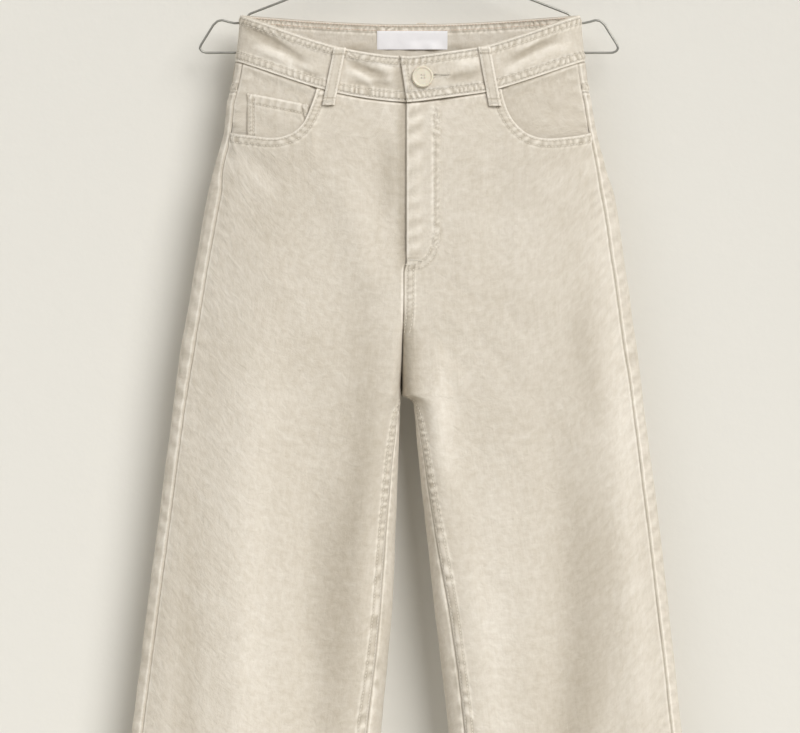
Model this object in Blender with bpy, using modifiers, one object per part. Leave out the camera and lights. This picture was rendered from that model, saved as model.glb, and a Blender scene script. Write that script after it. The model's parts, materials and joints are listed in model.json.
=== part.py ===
"""Wide leg jeans hanging flat from a wire hanger.

Sizes are in millimetres and become metres when a mesh is made. The origin is under the crown of
the hanger's hook, +Z is up and the front of the jeans faces -Y, so the wearer's left is at +X.
A height is given as its drop below the origin, and q is the distance from the centre line
towards one side.

Every cloth piece lies on one shape, the function surface(). It works out a flattened section of
the hips or a leg at any height from the rows of LEVELS, and a piece is a patch of it: a grid of
points moved out by so many millimetres, with a wall behind it.
"""

import math
from collections import namedtuple

import bmesh
import bpy
import numpy as np

MM = 0.001
LEFT, RIGHT = "left", "right"
FRONT, BACK = "front", "back"
SIGN = {LEFT: 1, RIGHT: -1, FRONT: -1, BACK: 1}

# Cloth
WALL = 1.4
SEAM_GAP = 0.3
LAP_GAP = 0.6
BAND_SEAM_GAP = 0.4
FRONT_SQUARE = 2.6  # how square the front's section turns at the side folds; 2 is an ellipse

# Waistband
BAND_TOP = 150.0  # at the side folds
BAND_HEIGHT = 45.0
BAND_WALL = 3.0
BAND_PROUD = 0.8  # beyond the panels' outer face
BAND_DIP = {FRONT: 41.0, BACK: 8.5}  # how far it hangs down at the centre
DIP_POWER = 1.1
OVERLAP_END_TOP, OVERLAP_END_BOTTOM = -8.8, -2.2
UNDERLAP_END = 32.0
OVERLAP_LIFT_FROM, OVERLAP_LIFT_TO = 64.0, 34.0

# Centre front and back
CROTCH = 515.0
HEM = 1209.0
FLY_WIDTH, FLY_FOOT_WIDTH = 31.0, 4.0
FLY_BOTTOM = 394.0
FLY_CURVE_FROM = 352.0
FLY_EDGE = -2.2
YOKE_SIDE, YOKE_CENTRE = 225.0, 262.0
BELOW_BAND = 4.0  # where the yoke's top edge is measured round the hips

# Pockets
MOUTH_UNDERLAP = 7.0
MOUTH_LIFT = {LEFT: 0.8, RIGHT: 2.0}
LIFT_INNER, LIFT_OUTER, LIFT_DROP = (84, 95), (178, 166), (302, 280)  # where the lift fades out
FACING_TOP, FACING_FOOT = 3.0, 5.0  # along the side seam, below the waistband and the mouth
COIN_TOP_SIDE, COIN_TOP_FLY = 226.0, 238.0
COIN_OUTER, COIN_INNER = 159.0, 98.5
COIN_UNDERLAP = 5.0
BACK_POCKET_TOP, BACK_POCKET_SIDE, BACK_POCKET_POINT = 286.0, 430.0, 450.0
BACK_POCKET_OUTER, BACK_POCKET_INNER = 158.0, 20.0
BACK_POCKET_TAPER = 8.0

# Small parts
LOOP_WALL = 2.2
FRONT_LOOP_BOW = 1.1
BACK_LOOP_TURN, BACK_LOOP_TURN_MIDDLE = 2.6, 0.7  # the rounded corner over the hanger's wire
BUTTON_DIAMETER, BUTTON_THICK = 21.0, 3.6
BUTTON_WELL, BUTTON_RIM, BUTTON_ROUND = 1.1, 2.2, 1.0
BUTTON_X, BUTTON_DROP = 13.2, 210.7
LABEL_LEFT, LABEL_RIGHT = -31.8, 38.4
LABEL_TOP, LABEL_BOTTOM = 165.0, 183.3
LABEL_WALL = 0.6

# Hanger
WIRE = 3.0
HOOK_INNER_RADIUS = 20.0
SHOULDER_TOP = 88.0
HOOK_TILT = 40.0  # how far below its middle the hook's round begins, in degrees
HOOK_STEPS, HOOK_STEP_ANGLE = 23, 10.5
NECK_BEND, NECK_STRAIGHT = 20.0, 6.0  # from the straight neck to the hook's round
NECK_BENDS = [(0.32, 8.5), (0.72, 4.2)]  # share of the way across, and how far below the round
BAR_DROP = 186.3
COLLAR_DIAMETER, COLLAR_HEIGHT, COLLAR_ROUND = 7.5, 12.0, 0.6
SHOULDER_BENDS = [(26, 9.6), (7, 2.3)]  # q and drop from the top of the shoulders

# fold: the side outline's distance from the centre line.  inner: the centre seam's, then the
# inner leg's.  peak: where the section is deepest.  fold_y: the side fold's place front to back.
# front, back: depths from it.  back_square: as FRONT_SQUARE.  roll: how far in the inner edge
# rolls round.  fork_front, fork_back: 0 where the halves run on into each other, 1 where a leg
# is closed.  seam_in: the side seam's distance in from the fold, on the front.  turn: how far
# round the front the inseam comes, in degrees.
Level = namedtuple(
    "Level",
    "drop left_fold right_fold left_inner right_inner peak fold_y front back back_square roll"
    " fork_front fork_back seam_in turn",
)
LEVELS = [
    Level(140, 166.0, 164.0, -2.85, 3.15, 0, -8.0, 25.0, 5.2, 8.0, 15, 0, 0, 6.0, 0),
    Level(194, 172.0, 169.3, -2.85, 3.15, 0, -8.0, 27.0, 5.2, 7.0, 15, 0, 0, 6.0, 0),
    Level(222, 175.5, 174.0, -2.85, 3.15, 0, -8.2, 29.0, 8.0, 5.0, 15, 0, 0, 5.6, 0),
    Level(236, 178.0, 177.5, -2.85, 3.15, 0, -8.5, 30.0, 10.5, 4.0, 15, 0, 0, 5.4, 0),
    Level(265, 183.0, 180.5, -2.85, 3.15, 5, -9.0, 31.5, 14.0, 3.2, 15, 0, 0, 5.4, 0),
    Level(302, 193.0, 191.4, -2.85, 3.15, 12, -10, 33.0, 18.0, 2.8, 15, 0, 0, 8.0, 0),
    Level(328, 202.0, 198.0, -2.85, 3.15, 22, -10, 33.5, 20.0, 2.6, 15, 0, 0, 12.8, 0),
    Level(403, 213.3, 211.0, -2.85, 3.15, 48, -10, 33.0, 22.0, 2.6, 15, 0, 0, 12.2, 0),
    Level(430, 217.0, 215.5, -2.85, 3.15, 60, -10, 32.5, 22.0, 2.6, 16, 0, 0, 12.4, 0),
    Level(478, 223.6, 223.6, -2.85, 3.15, 80, -10, 31.0, 22.0, 2.6, 18, 0.5, 0.3, 12.8, 0),
    Level(500, 226.6, 226.4, -2.85, 3.15, 92, -10, 30.5, 21.5, 2.6, 21, 0.82, 0.65, 12.0, 0),
    Level(515, 228.5, 228.5, -2.85, 3.15, 98, -10, 30.0, 21.0, 2.6, 24, 1, 1, 11.6, 0),
    Level(541, 231.2, 231.7, 5.5, 8.8, 108, -10, 29.0, 21.0, 2.6, 28, 1, 1, 11.0, 25),
    Level(606, 240.0, 240.3, 11.6, 11.4, 122, -10, 28.0, 20.0, 2.6, 34, 1, 1, 11.5, 38),
    Level(730, 254.5, 256.5, 27.5, 16.5, 140, -10, 27.0, 19.0, 2.6, 40, 1, 1, 10.8, 46),
    Level(854, 268.0, 272.0, 40.6, 29.5, 152, -10, 26.0, 19.0, 2.6, 43, 1, 1, 10.0, 48),
    Level(1209, 308.0, 317.0, 72.0, 60.0, 190, -10, 27.0, 19.0, 2.6, 45, 1, 1, 10.0, 48),
]

# The curved front pocket mouths, from the waistband round to the side seam.
Mouth = namedtuple("Mouth", "left_q left_drop right_q right_drop")
MOUTHS = [
    Mouth(90.2, 222.4, 89.6, 222.1),
    Mouth(92.6, 233.5, 92.4, 232.9),
    Mouth(96.6, 245.0, 96.7, 244.5),
    Mouth(102.9, 255.3, 102.5, 256.2),
    Mouth(113.4, 265.0, 111.1, 264.6),
    Mouth(125.3, 269.9, 122.6, 269.3),
    Mouth(138.9, 271.0, 134.3, 270.4),
    Mouth(157.0, 269.2, 153.0, 268.2),
    Mouth(169.5, 267.3, 166.5, 266.7),
]

# Heights along the seams. The front's side seam starts at the foot of the pocket mouth.
Row = namedtuple("Row", "side centre")
FRONT_MOUTH_ROWS = [236.8, 245, 254, 263, 271, 279, 286, 292, 298]
FRONT_ROWS = [
    Row(265.3, 305),
    Row(285, 319),
    Row(305, 336),
    Row(330, 357),
    Row(365, 382),
    Row(403, 412),
    Row(440, 442),
    Row(470, 470),
    Row(495, 495),
]
BACK_ROWS = [
    Row(225.3, 262.3),
    Row(245, 275),
    Row(265.3, 290),
    Row(285, 304),
    Row(305, 320),
    Row(330, 342),
    Row(365, 370),
    Row(403, 404),
    Row(440, 440),
    Row(470, 470),
    Row(495, 495),
]
LEG_ROWS = [CROTCH, 541, 573, 606, 668, 730, 792, 854, 925, 996, 1067, 1138, HEM]

# Columns, from the side seam to the centre or the inseam.
FRONT_COLUMNS = [0, 0.025, 0.06, 0.12, 0.22, 0.35, 0.5, 0.65, 0.78, 0.875, 0.94, 0.975, 1]
BACK_FOLD_ANGLES = [25, 50, 70]
BACK_STRAIGHT = 6
INNER_ANGLES = [75, 50]
INNER_STEPS = 3
EDGE_TURN = 0.35  # half the seam gap, as an angle round a leg's inner edge

# Large soft folds. A height below 0 is a trough.
Fold = namedtuple("Fold", "side face q_top q_foot top foot width height")
FOLDS = [
    Fold(RIGHT, FRONT, 150, 186, 330, 900, 30, 2.6),
    Fold(RIGHT, FRONT, 96, 120, 470, 1209, 34, -2.4),
    Fold(RIGHT, FRONT, 176, 238, 620, 1300, 30, -2.6),
    Fold(LEFT, FRONT, 130, 170, 360, 1000, 32, 2.6),
    Fold(LEFT, FRONT, 176, 232, 560, 1300, 32, -2.6),
    Fold(LEFT, FRONT, 70, 110, 520, 1209, 34, 2.2),
    Fold(RIGHT, BACK, 120, 170, 470, 1209, 36, 3.0),
    Fold(RIGHT, BACK, 60, 110, 560, 1300, 30, -2.4),
    Fold(LEFT, BACK, 120, 168, 500, 1209, 36, 3.0),
    Fold(LEFT, BACK, 190, 240, 620, 1300, 30, -2.4),
]

# Belt loops: the middle line's q at the top and foot, and the width.
Loop = namedtuple("Loop", "name side face q_top q_foot width top foot")
FRONT_LOOPS = [
    Loop("belt_loop_front_left", LEFT, FRONT, 73.5, 84.3, 12.0, 181.5, 239.6),
    Loop("belt_loop_front_right", RIGHT, FRONT, 67.6, 78.8, 12.0, 182.5, 238.7),
]
BACK_LOOPS = [
    Loop("belt_loop_back", LEFT, BACK, 12.3, 12.3, 12.0, 158.0, 219.0),
    Loop("belt_loop_side_left", LEFT, BACK, 163.2, 166.6, 7.5, 151.0, 212.0),
    Loop("belt_loop_side_right", RIGHT, BACK, 162.6, 164.6, 7.5, 151.0, 212.0),
]

# One half of the hanger's frame below its shoulder, from the notch round to the bar.
Bend = namedtuple("Bend", "q drop")
HANGER_END = [
    Bend(152.8, 146.7),
    Bend(154.9, 148.2),
    Bend(156.0, 150.6),
    Bend(156.9, 153.4),
    Bend(159.2, 155.8),
    Bend(165.0, 156.9),
    Bend(171.5, 157.2),
    Bend(177.5, 155.9),
    Bend(183.5, 154.2),
    Bend(188.0, 155.2),
    Bend(192.0, 158.8),
    Bend(204.2, 178.4),
    Bend(205.4, 181.8),
    Bend(203.6, 184.8),
    Bend(199.6, 186.3),
]

ECRU = (0.74, 0.68, 0.57)
COLOURS = {
    "front": ECRU,
    "back": ECRU,
    "yoke": (0.73, 0.67, 0.56),
    "waistband": (0.74, 0.68, 0.57),
    "fly": (0.75, 0.69, 0.58),
    "pocket": (0.7, 0.63, 0.52),
    "coin": (0.71, 0.64, 0.53),
    "loop": (0.74, 0.68, 0.57),
    "button": (0.82, 0.77, 0.66),
    "label": (0.86, 0.84, 0.85),
    "wire": (0.33, 0.32, 0.29),
}


class Curve:
    """A smooth curve through one column of a table, which never swings past its rows."""

    def __init__(self, xs, ys):
        self.xs = np.array(xs, float)
        self.ys = np.array(ys, float)
        rise = np.diff(self.ys) / np.diff(self.xs)
        before, after = rise[:-1], rise[1:]
        same_way = before * after > 0
        mean = np.where(same_way, 2 * before * after / np.where(same_way, before + after, 1), 0)
        self.slopes = np.concatenate([rise[:1], mean, rise[-1:]])

    def __call__(self, x):
        x = np.asarray(x, float)
        k = np.clip(np.searchsorted(self.xs, x) - 1, 0, len(self.xs) - 2)
        span = self.xs[k + 1] - self.xs[k]
        t = np.clip((x - self.xs[k]) / span, 0, 1)
        start = (1 + 2 * t) * (1 - t) ** 2 * self.ys[k] + t * (1 - t) ** 2 * span * self.slopes[k]
        end = t**2 * (3 - 2 * t) * self.ys[k + 1] + t**2 * (t - 1) * span * self.slopes[k + 1]
        return start + end


def table_curves(rows):
    """A Curve for each column after the first, by name."""
    drops = [row.drop for row in rows]
    return {name: Curve(drops, [getattr(row, name) for row in rows]) for name in rows[0]._fields[1:]}


BODY = table_curves(LEVELS)


def ramp(value, start, end):
    """0 at start, 1 at end, with a soft turn at both."""
    t = np.clip((value - start) / (end - start), 0, 1)
    return t * t * (3 - 2 * t)


def fold_relief(side, face, drop, q):
    """How far the large folds push the cloth out here."""
    total = np.zeros(np.broadcast(drop, q).shape)
    for fold in FOLDS:
        if (fold.side, fold.face) == (side, face):
            along = np.clip((drop - fold.top) / (fold.foot - fold.top), 0, 1)
            middle = fold.q_top + (fold.q_foot - fold.q_top) * along
            across = np.exp(-(((q - middle) / fold.width) ** 2))
            total = total + fold.height * across * np.sin(math.pi * along) ** 0.8
    return total


def surface(side, face, drop, q, out=0.0):
    """The point, in millimetres, at this height and q, moved out from the cloth's outer face."""
    drop, q = np.asarray(drop, float), np.asarray(q, float)
    fold, inner = BODY[side + "_fold"](drop), BODY[side + "_inner"](drop)
    peak, roll, fork = BODY["peak"](drop), BODY["roll"](drop), BODY["fork_" + face](drop)
    square = BODY["back_square"](drop) if face == BACK else FRONT_SQUARE
    towards_fold = np.clip((q - peak) / (fold - peak), 0, 1)
    round_fold = np.sqrt(1 - towards_fold**square)
    towards_inner = np.clip(1 - (q - inner) / roll, 0, 1)
    round_inner = 1 - fork * (1 - np.sqrt(1 - towards_inner**2))
    depth = BODY[face](drop) + fold_relief(side, face, drop, q) + out
    x = SIGN[side] * (q + out * (towards_fold - fork * towards_inner))
    y = BODY["fold_y"](drop) + SIGN[face] * depth * round_fold * round_inner
    return np.stack(np.broadcast_arrays(x, y, -drop), -1)


def fold_q(side, face, drop, angle):
    """q at this angle round the side fold: 0 is its tip, 90 where the section is deepest."""
    square = BODY["back_square"](drop) if face == BACK else FRONT_SQUARE
    peak, fold = BODY["peak"](drop), BODY[side + "_fold"](drop)
    return peak + (fold - peak) * math.cos(math.radians(angle)) ** (2 / square)


def inner_q(side, drop, angle):
    """q at this angle round the inner edge of a leg: 0 is its tip."""
    return BODY[side + "_inner"](drop) + BODY["roll"](drop) * (1 - math.cos(math.radians(angle)))


def side_seam_q(side, drop):
    return BODY[side + "_fold"](drop) - BODY["seam_in"](drop)


def side_seam_angle(side, drop):
    """The side seam's angle round the fold, on the front."""
    peak, fold = BODY["peak"](drop), BODY[side + "_fold"](drop)
    reach = (side_seam_q(side, drop) + SEAM_GAP / 2 - peak) / (fold - peak)
    return math.degrees(math.acos(reach ** (FRONT_SQUARE / 2)))


def band_edge(side, face, q, across):
    """The waistband's height at this q: across 0 is its top edge, 1 its bottom edge."""
    reach = np.clip(abs(q) / BODY[side + "_fold"](BAND_TOP + across * BAND_HEIGHT), 0, 1)
    dip = BAND_DIP[face] * np.cos(math.pi / 2 * reach) ** DIP_POWER
    return BAND_TOP + across * BAND_HEIGHT + dip


def back_spots(side, drop):
    """(face, q, share) across a back piece, from the side seam round the fold to the centre.

    drop is a function of the share, which is 0 at the side fold and 1 at the centre.
    """
    seam = side_seam_angle(side, drop(0))
    spots = [(FRONT, fold_q(side, FRONT, drop(0), angle), 0) for angle in (seam, seam / 2, 0)]
    spots += [(BACK, fold_q(side, BACK, drop(0), angle), 0) for angle in BACK_FOLD_ANGLES]
    start = spots[-1][1]
    end = inner_q(side, drop(1), INNER_ANGLES[0])
    for step in range(1, BACK_STRAIGHT):
        share = step / BACK_STRAIGHT
        spots.append((BACK, start + (end - start) * share, share))
    turn = float(BODY["turn"](drop(1)))
    edge = EDGE_TURN if drop(1) >= CROTCH - 1 else 0
    last = turn - edge
    angles = [-angle for angle in INNER_ANGLES]
    for step in range(1, INNER_STEPS + 1):
        angles.append(angles[1] + (last - angles[1]) * step / INNER_STEPS)
    for angle in angles:
        face = FRONT if angle > 0 else BACK
        spots.append((face, inner_q(side, drop(1), angle), 1))
    return spots


def back_grid_row(side, drop, out):
    """One row of a back piece, from surface points at the heights that drop gives."""
    return [surface(side, face, drop(share), q, out) for face, q, share in back_spots(side, drop)]


def tilted(row):
    """The height along a row that leans from its side height to its centre height."""
    return lambda share: row.side + (row.centre - row.side) * share


def mesh_object(name, mesh, colour, roughness=0.85, metallic=0.0):
    """An object of the garment's collection with a material of its own."""
    obj = bpy.data.objects.new(name, mesh)
    material = bpy.data.materials.new(name)
    material.use_nodes = True
    shader = material.node_tree.nodes["Principled BSDF"]
    shader.inputs["Base Color"].default_value = (*COLOURS[colour], 1)
    shader.inputs["Roughness"].default_value = roughness
    shader.inputs["Metallic"].default_value = metallic
    obj.data.materials.append(material)
    bpy.data.collections["wide_leg_jeans"].objects.link(obj)
    return obj


def shell(name, outer, inner, colour):
    """A closed wall between two grids of points of the same size, in millimetres."""
    outer, inner = np.array(outer), np.array(inner)
    rows, columns = outer.shape[:2]
    bm = bmesh.new()
    top = [[bm.verts.new(point * MM) for point in row] for row in outer]
    under = [[bm.verts.new(point * MM) for point in row] for row in inner]
    for i in range(rows - 1):
        for j in range(columns - 1):
            bm.faces.new((top[i][j], top[i][j + 1], top[i + 1][j + 1], top[i + 1][j]))
            bm.faces.new((under[i][j], under[i + 1][j], under[i + 1][j + 1], under[i][j + 1]))
    border = [(0, j) for j in range(columns)] + [(i, columns - 1) for i in range(1, rows)]
    border += [(rows - 1, j) for j in range(columns - 2, -1, -1)]
    border += [(i, 0) for i in range(rows - 2, 0, -1)]
    for (i, j), (k, m) in zip(border, border[1:] + border[:1]):
        bm.faces.new((top[k][m], top[i][j], under[i][j], under[k][m]))
    bmesh.ops.recalc_face_normals(bm, faces=bm.faces)
    mesh = bpy.data.meshes.new(name)
    bm.to_mesh(mesh)
    bm.free()
    mesh.shade_smooth()
    return mesh_object(name, mesh, colour)


def mouth_lift(side, q, drop):
    """How far the pocket's hem stands out, further on the right, over the coin pocket."""
    near_mouth = ramp(q, *LIFT_INNER) * ramp(q, *LIFT_OUTER) * ramp(drop, *LIFT_DROP)
    return float(MOUTH_LIFT[side] * near_mouth)


def front_row(side, q_side, q_centre, drops, layer):
    """One row of a front panel between two q values, at heights drops(share, q)."""
    points = []
    for share in FRONT_COLUMNS:
        q = q_side + (q_centre - q_side) * share
        drop = drops(share, q)
        points.append(surface(side, FRONT, drop, q, layer + mouth_lift(side, q, drop)))
    return points


def front_panel(side):
    """From the pocket mouth and side seam to the centre front and inseam."""
    rows = []
    centre = float(BODY[side + "_inner"](CROTCH - 1))
    for k, (mouth, low) in enumerate(zip(MOUTHS, FRONT_MOUTH_ROWS)):
        q, high = getattr(mouth, side + "_q"), getattr(mouth, side + "_drop")
        bow = max(0.0, 1 - k / 4)
        ends = [band_edge(side, FRONT, end, 1) for end in (q, centre)]

        def drops(share, here, high=high, low=low, bow=bow, ends=ends):
            chord = ends[0] + (ends[1] - ends[0]) * share
            return high + (low - high) * share + bow * (band_edge(side, FRONT, here, 1) - chord)

        rows.append((q, centre, drops))
    for row in FRONT_ROWS:
        q = side_seam_q(side, row.side) - SEAM_GAP / 2
        rows.append((q, centre, lambda share, here, row=row: tilted(row)(share)))
    for drop in LEG_ROWS:
        q = side_seam_q(side, drop) - SEAM_GAP / 2
        inseam = inner_q(side, drop, float(BODY["turn"](drop)) + EDGE_TURN)
        rows.append((q, inseam, lambda share, here, drop=drop: drop))
    outer = [front_row(side, *row, 0) for row in rows]
    inner = [front_row(side, *row, -WALL) for row in rows]
    return shell("front_" + side, outer, inner, "front")


def yoke(side):
    """Between the waistband and the slanted seam across the top of the back."""
    layers = []
    for out in (0, -WALL):
        grid = []
        for share_down in (0, 0.5, 1):
            seam = tilted(Row(YOKE_SIDE, YOKE_CENTRE))
            spots = back_spots(side, lambda share: BAND_TOP + BAND_HEIGHT + BELOW_BAND)
            top = [band_edge(side, face, q, 1) + BAND_SEAM_GAP for face, q, _ in spots]
            row = []
            for k, (face, q, share) in enumerate(back_spots(side, seam)):
                drop = top[k] + (seam(share) - top[k]) * share_down
                q_top = spots[k][1]
                row.append(surface(side, face, drop, q_top + (q - q_top) * share_down, out))
            grid.append(row)
        layers.append(grid)
    return shell("yoke_" + side, *layers, "yoke")


def back_panel(side):
    """From the side seam on the front, round the fold and across the back to the inseam."""
    heights = [tilted(row) for row in BACK_ROWS]
    heights += [lambda share, drop=drop: drop for drop in LEG_ROWS]
    outer = [back_grid_row(side, height, 0) for height in heights]
    inner = [back_grid_row(side, height, -WALL) for height in heights]
    return shell("back_" + side, outer, inner, "back")


def band_stations():
    """(side, face, q) along the waistband, from its end on top, round the back, to its end below."""
    near = [0, 12, 24, OVERLAP_LIFT_TO, 44, 54, OVERLAP_LIFT_FROM, 82, 100, 118]
    stations = [(LEFT, FRONT, None)] + [(LEFT, FRONT, q) for q in near]
    stations += [(LEFT, FRONT, angle * 1j) for angle in (44, 33, 22, 11, 0)]
    stations += [(LEFT, BACK, angle * 1j) for angle in (14, 30, 48)]
    stations += [(LEFT, BACK, q) for q in (130, 100, 70, 40, 15)]
    stations += [(RIGHT, BACK, q) for q in (10, 40, 70, 100, 130)]
    stations += [(RIGHT, BACK, angle * 1j) for angle in (48, 30, 14)]
    stations += [(RIGHT, FRONT, angle * 1j) for angle in (0, 11, 22, 33, 44)]
    stations += [(RIGHT, FRONT, q) for q in (118, 100, 82, 64, 48, 32, 16)]
    stations += [(LEFT, FRONT, q) for q in (0, 16, UNDERLAP_END)]
    return stations


def waistband():
    """One strip right round, with the wearer's left end on top at the centre front."""
    stations = band_stations()
    on_top = stations.index((LEFT, FRONT, 118))
    layers = []
    for wall in (0, -BAND_WALL):
        grid = []
        for across in (0, 0.5, 1):
            nominal = BAND_TOP + across * BAND_HEIGHT
            row = []
            for k, (side, face, q) in enumerate(stations):
                if q is None:
                    q = OVERLAP_END_TOP + (OVERLAP_END_BOTTOM - OVERLAP_END_TOP) * across
                elif isinstance(q, complex):
                    q = float(fold_q(side, face, nominal, q.imag))
                lift = (BAND_WALL + SEAM_GAP) * float(ramp(q, OVERLAP_LIFT_FROM, OVERLAP_LIFT_TO))
                out = BAND_PROUD + wall + (lift if k <= on_top else 0)
                row.append(surface(side, face, band_edge(side, face, q, across), q, out))
            grid.append(row)
        layers.append(grid)
    return shell("waistband", *layers, "waistband")


def fly_facing():
    """The doubled fly on the wearer's left front, with its J-shaped free edge."""
    top = float(band_edge(LEFT, FRONT, 0, 1)) + BAND_SEAM_GAP
    drops = list(np.linspace(top, FLY_CURVE_FROM, 6))
    drops += [FLY_CURVE_FROM + (FLY_BOTTOM - FLY_CURVE_FROM) * share for share in (0.35, 0.65, 0.86, 1)]
    layers = []
    for out in (LAP_GAP + WALL, LAP_GAP):
        grid = []
        for k, drop in enumerate(drops):
            down = max(0.0, (drop - FLY_CURVE_FROM) / (FLY_BOTTOM - FLY_CURVE_FROM))
            width = FLY_FOOT_WIDTH + (FLY_WIDTH - FLY_FOOT_WIDTH) * math.sqrt(1 - down**2)
            row = []
            for share in (0, 0.3, 0.65, 1):
                q = FLY_EDGE + width * share
                edge = float(band_edge(LEFT, FRONT, q, 1)) + BAND_SEAM_GAP
                height = drop if k else edge
                row.append(surface(LEFT, FRONT, height, q, out))
            grid.append(row)
        layers.append(grid)
    return shell("fly_facing", *layers, "fly")


def behind_mouth(side, k, reach):
    """Point k of the pocket mouth, moved under the front panel by reach: (q, drop)."""
    points = [(getattr(m, side + "_q"), getattr(m, side + "_drop")) for m in MOUTHS]
    points.append((float(side_seam_q(side, FRONT_ROWS[0].side)), FRONT_ROWS[0].side))
    before, after = points[max(k - 1, 0)], points[min(k + 1, len(points) - 1)]
    along = (after[0] - before[0], after[1] - before[1])
    length = math.hypot(*along)
    q, drop = points[k]
    return q - along[1] / length * reach, drop + along[0] / length * reach


def pocket_facing(side):
    """The cloth that shows inside the mouth, from the side seam to a lap under the front."""
    top, foot = BAND_TOP + BAND_HEIGHT + FACING_TOP, FRONT_ROWS[0].side + FACING_FOOT
    seam_drops = np.linspace(top, foot, len(MOUTHS))
    layers = []
    for out in (-WALL - LAP_GAP, -2 * WALL - LAP_GAP):
        grid = []
        for k, seam_drop in enumerate(seam_drops):
            q_low, drop_low = behind_mouth(side, k, MOUTH_UNDERLAP)
            q_high = float(side_seam_q(side, seam_drop)) - SEAM_GAP
            row = []
            for share in (0, 0.035, 0.09, 0.17, 0.28, 0.45, 0.65, 0.82, 1):
                q = q_high + (q_low - q_high) * share
                drop = seam_drop + (drop_low - seam_drop) * share
                if k == 0:
                    drop = float(band_edge(side, FRONT, q, 1)) + BAND_SEAM_GAP
                row.append(surface(side, FRONT, drop, q, out))
            grid.append(row)
        layers.append(grid)
    return shell("pocket_facing_" + side, *layers, "pocket")


def coin_pocket():
    """The small pocket on the wearer's right facing, which runs down under the mouth."""
    layers = []
    for out in (0, -WALL):
        grid = []
        for down in (0, 0.33, 0.66, 1):
            row = []
            for share in (0, 0.12, 0.3, 0.5, 0.75, 1):
                q = COIN_OUTER + (COIN_INNER - COIN_OUTER) * share
                top = COIN_TOP_SIDE + (COIN_TOP_FLY - COIN_TOP_SIDE) * share
                mouth = np.interp(q, [m.right_q for m in MOUTHS], [m.right_drop for m in MOUTHS])
                drop = top + (float(mouth) + COIN_UNDERLAP - top) * down
                row.append(surface(RIGHT, FRONT, drop, q, out))
            grid.append(row)
        layers.append(grid)
    return shell("coin_pocket", *layers, "coin")


def back_pocket(side):
    """A five-sided patch on the back panel."""
    middle = (BACK_POCKET_OUTER + BACK_POCKET_INNER) / 2
    layers = []
    for out in (LAP_GAP + WALL, LAP_GAP):
        grid = []
        for down in (0, 0.25, 0.5, 0.75, 1):
            row = []
            for share in (0, 0.17, 0.33, 0.5, 0.67, 0.83, 1):
                q = BACK_POCKET_OUTER + (BACK_POCKET_INNER - BACK_POCKET_OUTER) * share
                q += (middle - q) / (BACK_POCKET_OUTER - middle) * BACK_POCKET_TAPER * down
                point = (BACK_POCKET_POINT - BACK_POCKET_SIDE) * (1 - abs(2 * share - 1))
                foot = BACK_POCKET_SIDE + point
                row.append(surface(side, BACK, BACK_POCKET_TOP + (foot - BACK_POCKET_TOP) * down, q, out))
            grid.append(row)
        layers.append(grid)
    return shell("back_pocket_" + side, *layers, "pocket")


def strap(loop, path):
    """A belt loop: a flat strip of cloth whose middle line is path, as (y, drop) pairs."""
    path = np.array(path, float)
    steps = np.diff(path, axis=0)
    steps /= np.linalg.norm(steps, axis=1)[:, None]
    joined = np.vstack([steps[:1], steps[:-1] + steps[1:], steps[-1:]])
    joined /= np.linalg.norm(joined, axis=1)[:, None]
    normals = np.stack([joined[:, 1], -joined[:, 0]], -1) * SIGN[loop.face]
    share = (path[:, 1] - loop.top) / (loop.foot - loop.top)
    middle = loop.q_top + (loop.q_foot - loop.q_top) * np.clip(share, 0, 1)
    layers = []
    for side_of_wall in (0.5, -0.5):
        points = path + normals * LOOP_WALL * side_of_wall
        grid = []
        for (y, drop), q in zip(points, middle):
            edges = (q - loop.width / 2, q, q + loop.width / 2)
            grid.append([np.array([SIGN[loop.side] * edge, y, -drop]) for edge in edges])
        layers.append(grid)
    return shell(loop.name, *layers, "loop")


def front_loop(loop):
    """Close on the band, with a slight bow, and its foot on the front panel."""
    path = []
    for share in (0, 0.08, 0.3, 0.5, 0.7, 0.86, 1):
        drop = loop.top + (loop.foot - loop.top) * share
        q = loop.q_top + (loop.q_foot - loop.q_top) * share
        bow = FRONT_LOOP_BOW * math.sin(math.pi * share)
        out = BAND_PROUD + 2 * SEAM_GAP + LOOP_WALL / 2 + bow
        path.append((surface(loop.side, loop.face, drop, q, out)[1], drop))
    return strap(loop, path)


def back_loop(loop):
    """Round the hanger's wire: out over it at the top, down behind it, and back to the yoke."""
    behind_wire = WIRE / 2 + SEAM_GAP + LOOP_WALL / 2
    on_band = BAND_PROUD + 2 * SEAM_GAP + LOOP_WALL / 2
    q_edge = (loop.q_top + loop.q_foot) / 2 - loop.width / 2
    top_drop = loop.top + LOOP_WALL / 2
    root = surface(loop.side, BACK, loop.top, q_edge - loop.width / 4, BAND_PROUD + SEAM_GAP)[1]
    path = [(root, top_drop), (behind_wire - BACK_LOOP_TURN, top_drop)]
    path.append((behind_wire - BACK_LOOP_TURN_MIDDLE, top_drop + BACK_LOOP_TURN_MIDDLE))
    path.append((behind_wire, top_drop + BACK_LOOP_TURN))
    path += [(behind_wire, BAR_DROP), (behind_wire, BAR_DROP + WIRE)]
    for share in (0.5, 1):
        drop = BAR_DROP + WIRE + (loop.foot - BAR_DROP - WIRE) * share
        y = surface(loop.side, BACK, drop, q_edge, on_band)[1]
        path.append((behind_wire + (y - behind_wire) * share, drop))
    return strap(loop, path)


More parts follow.
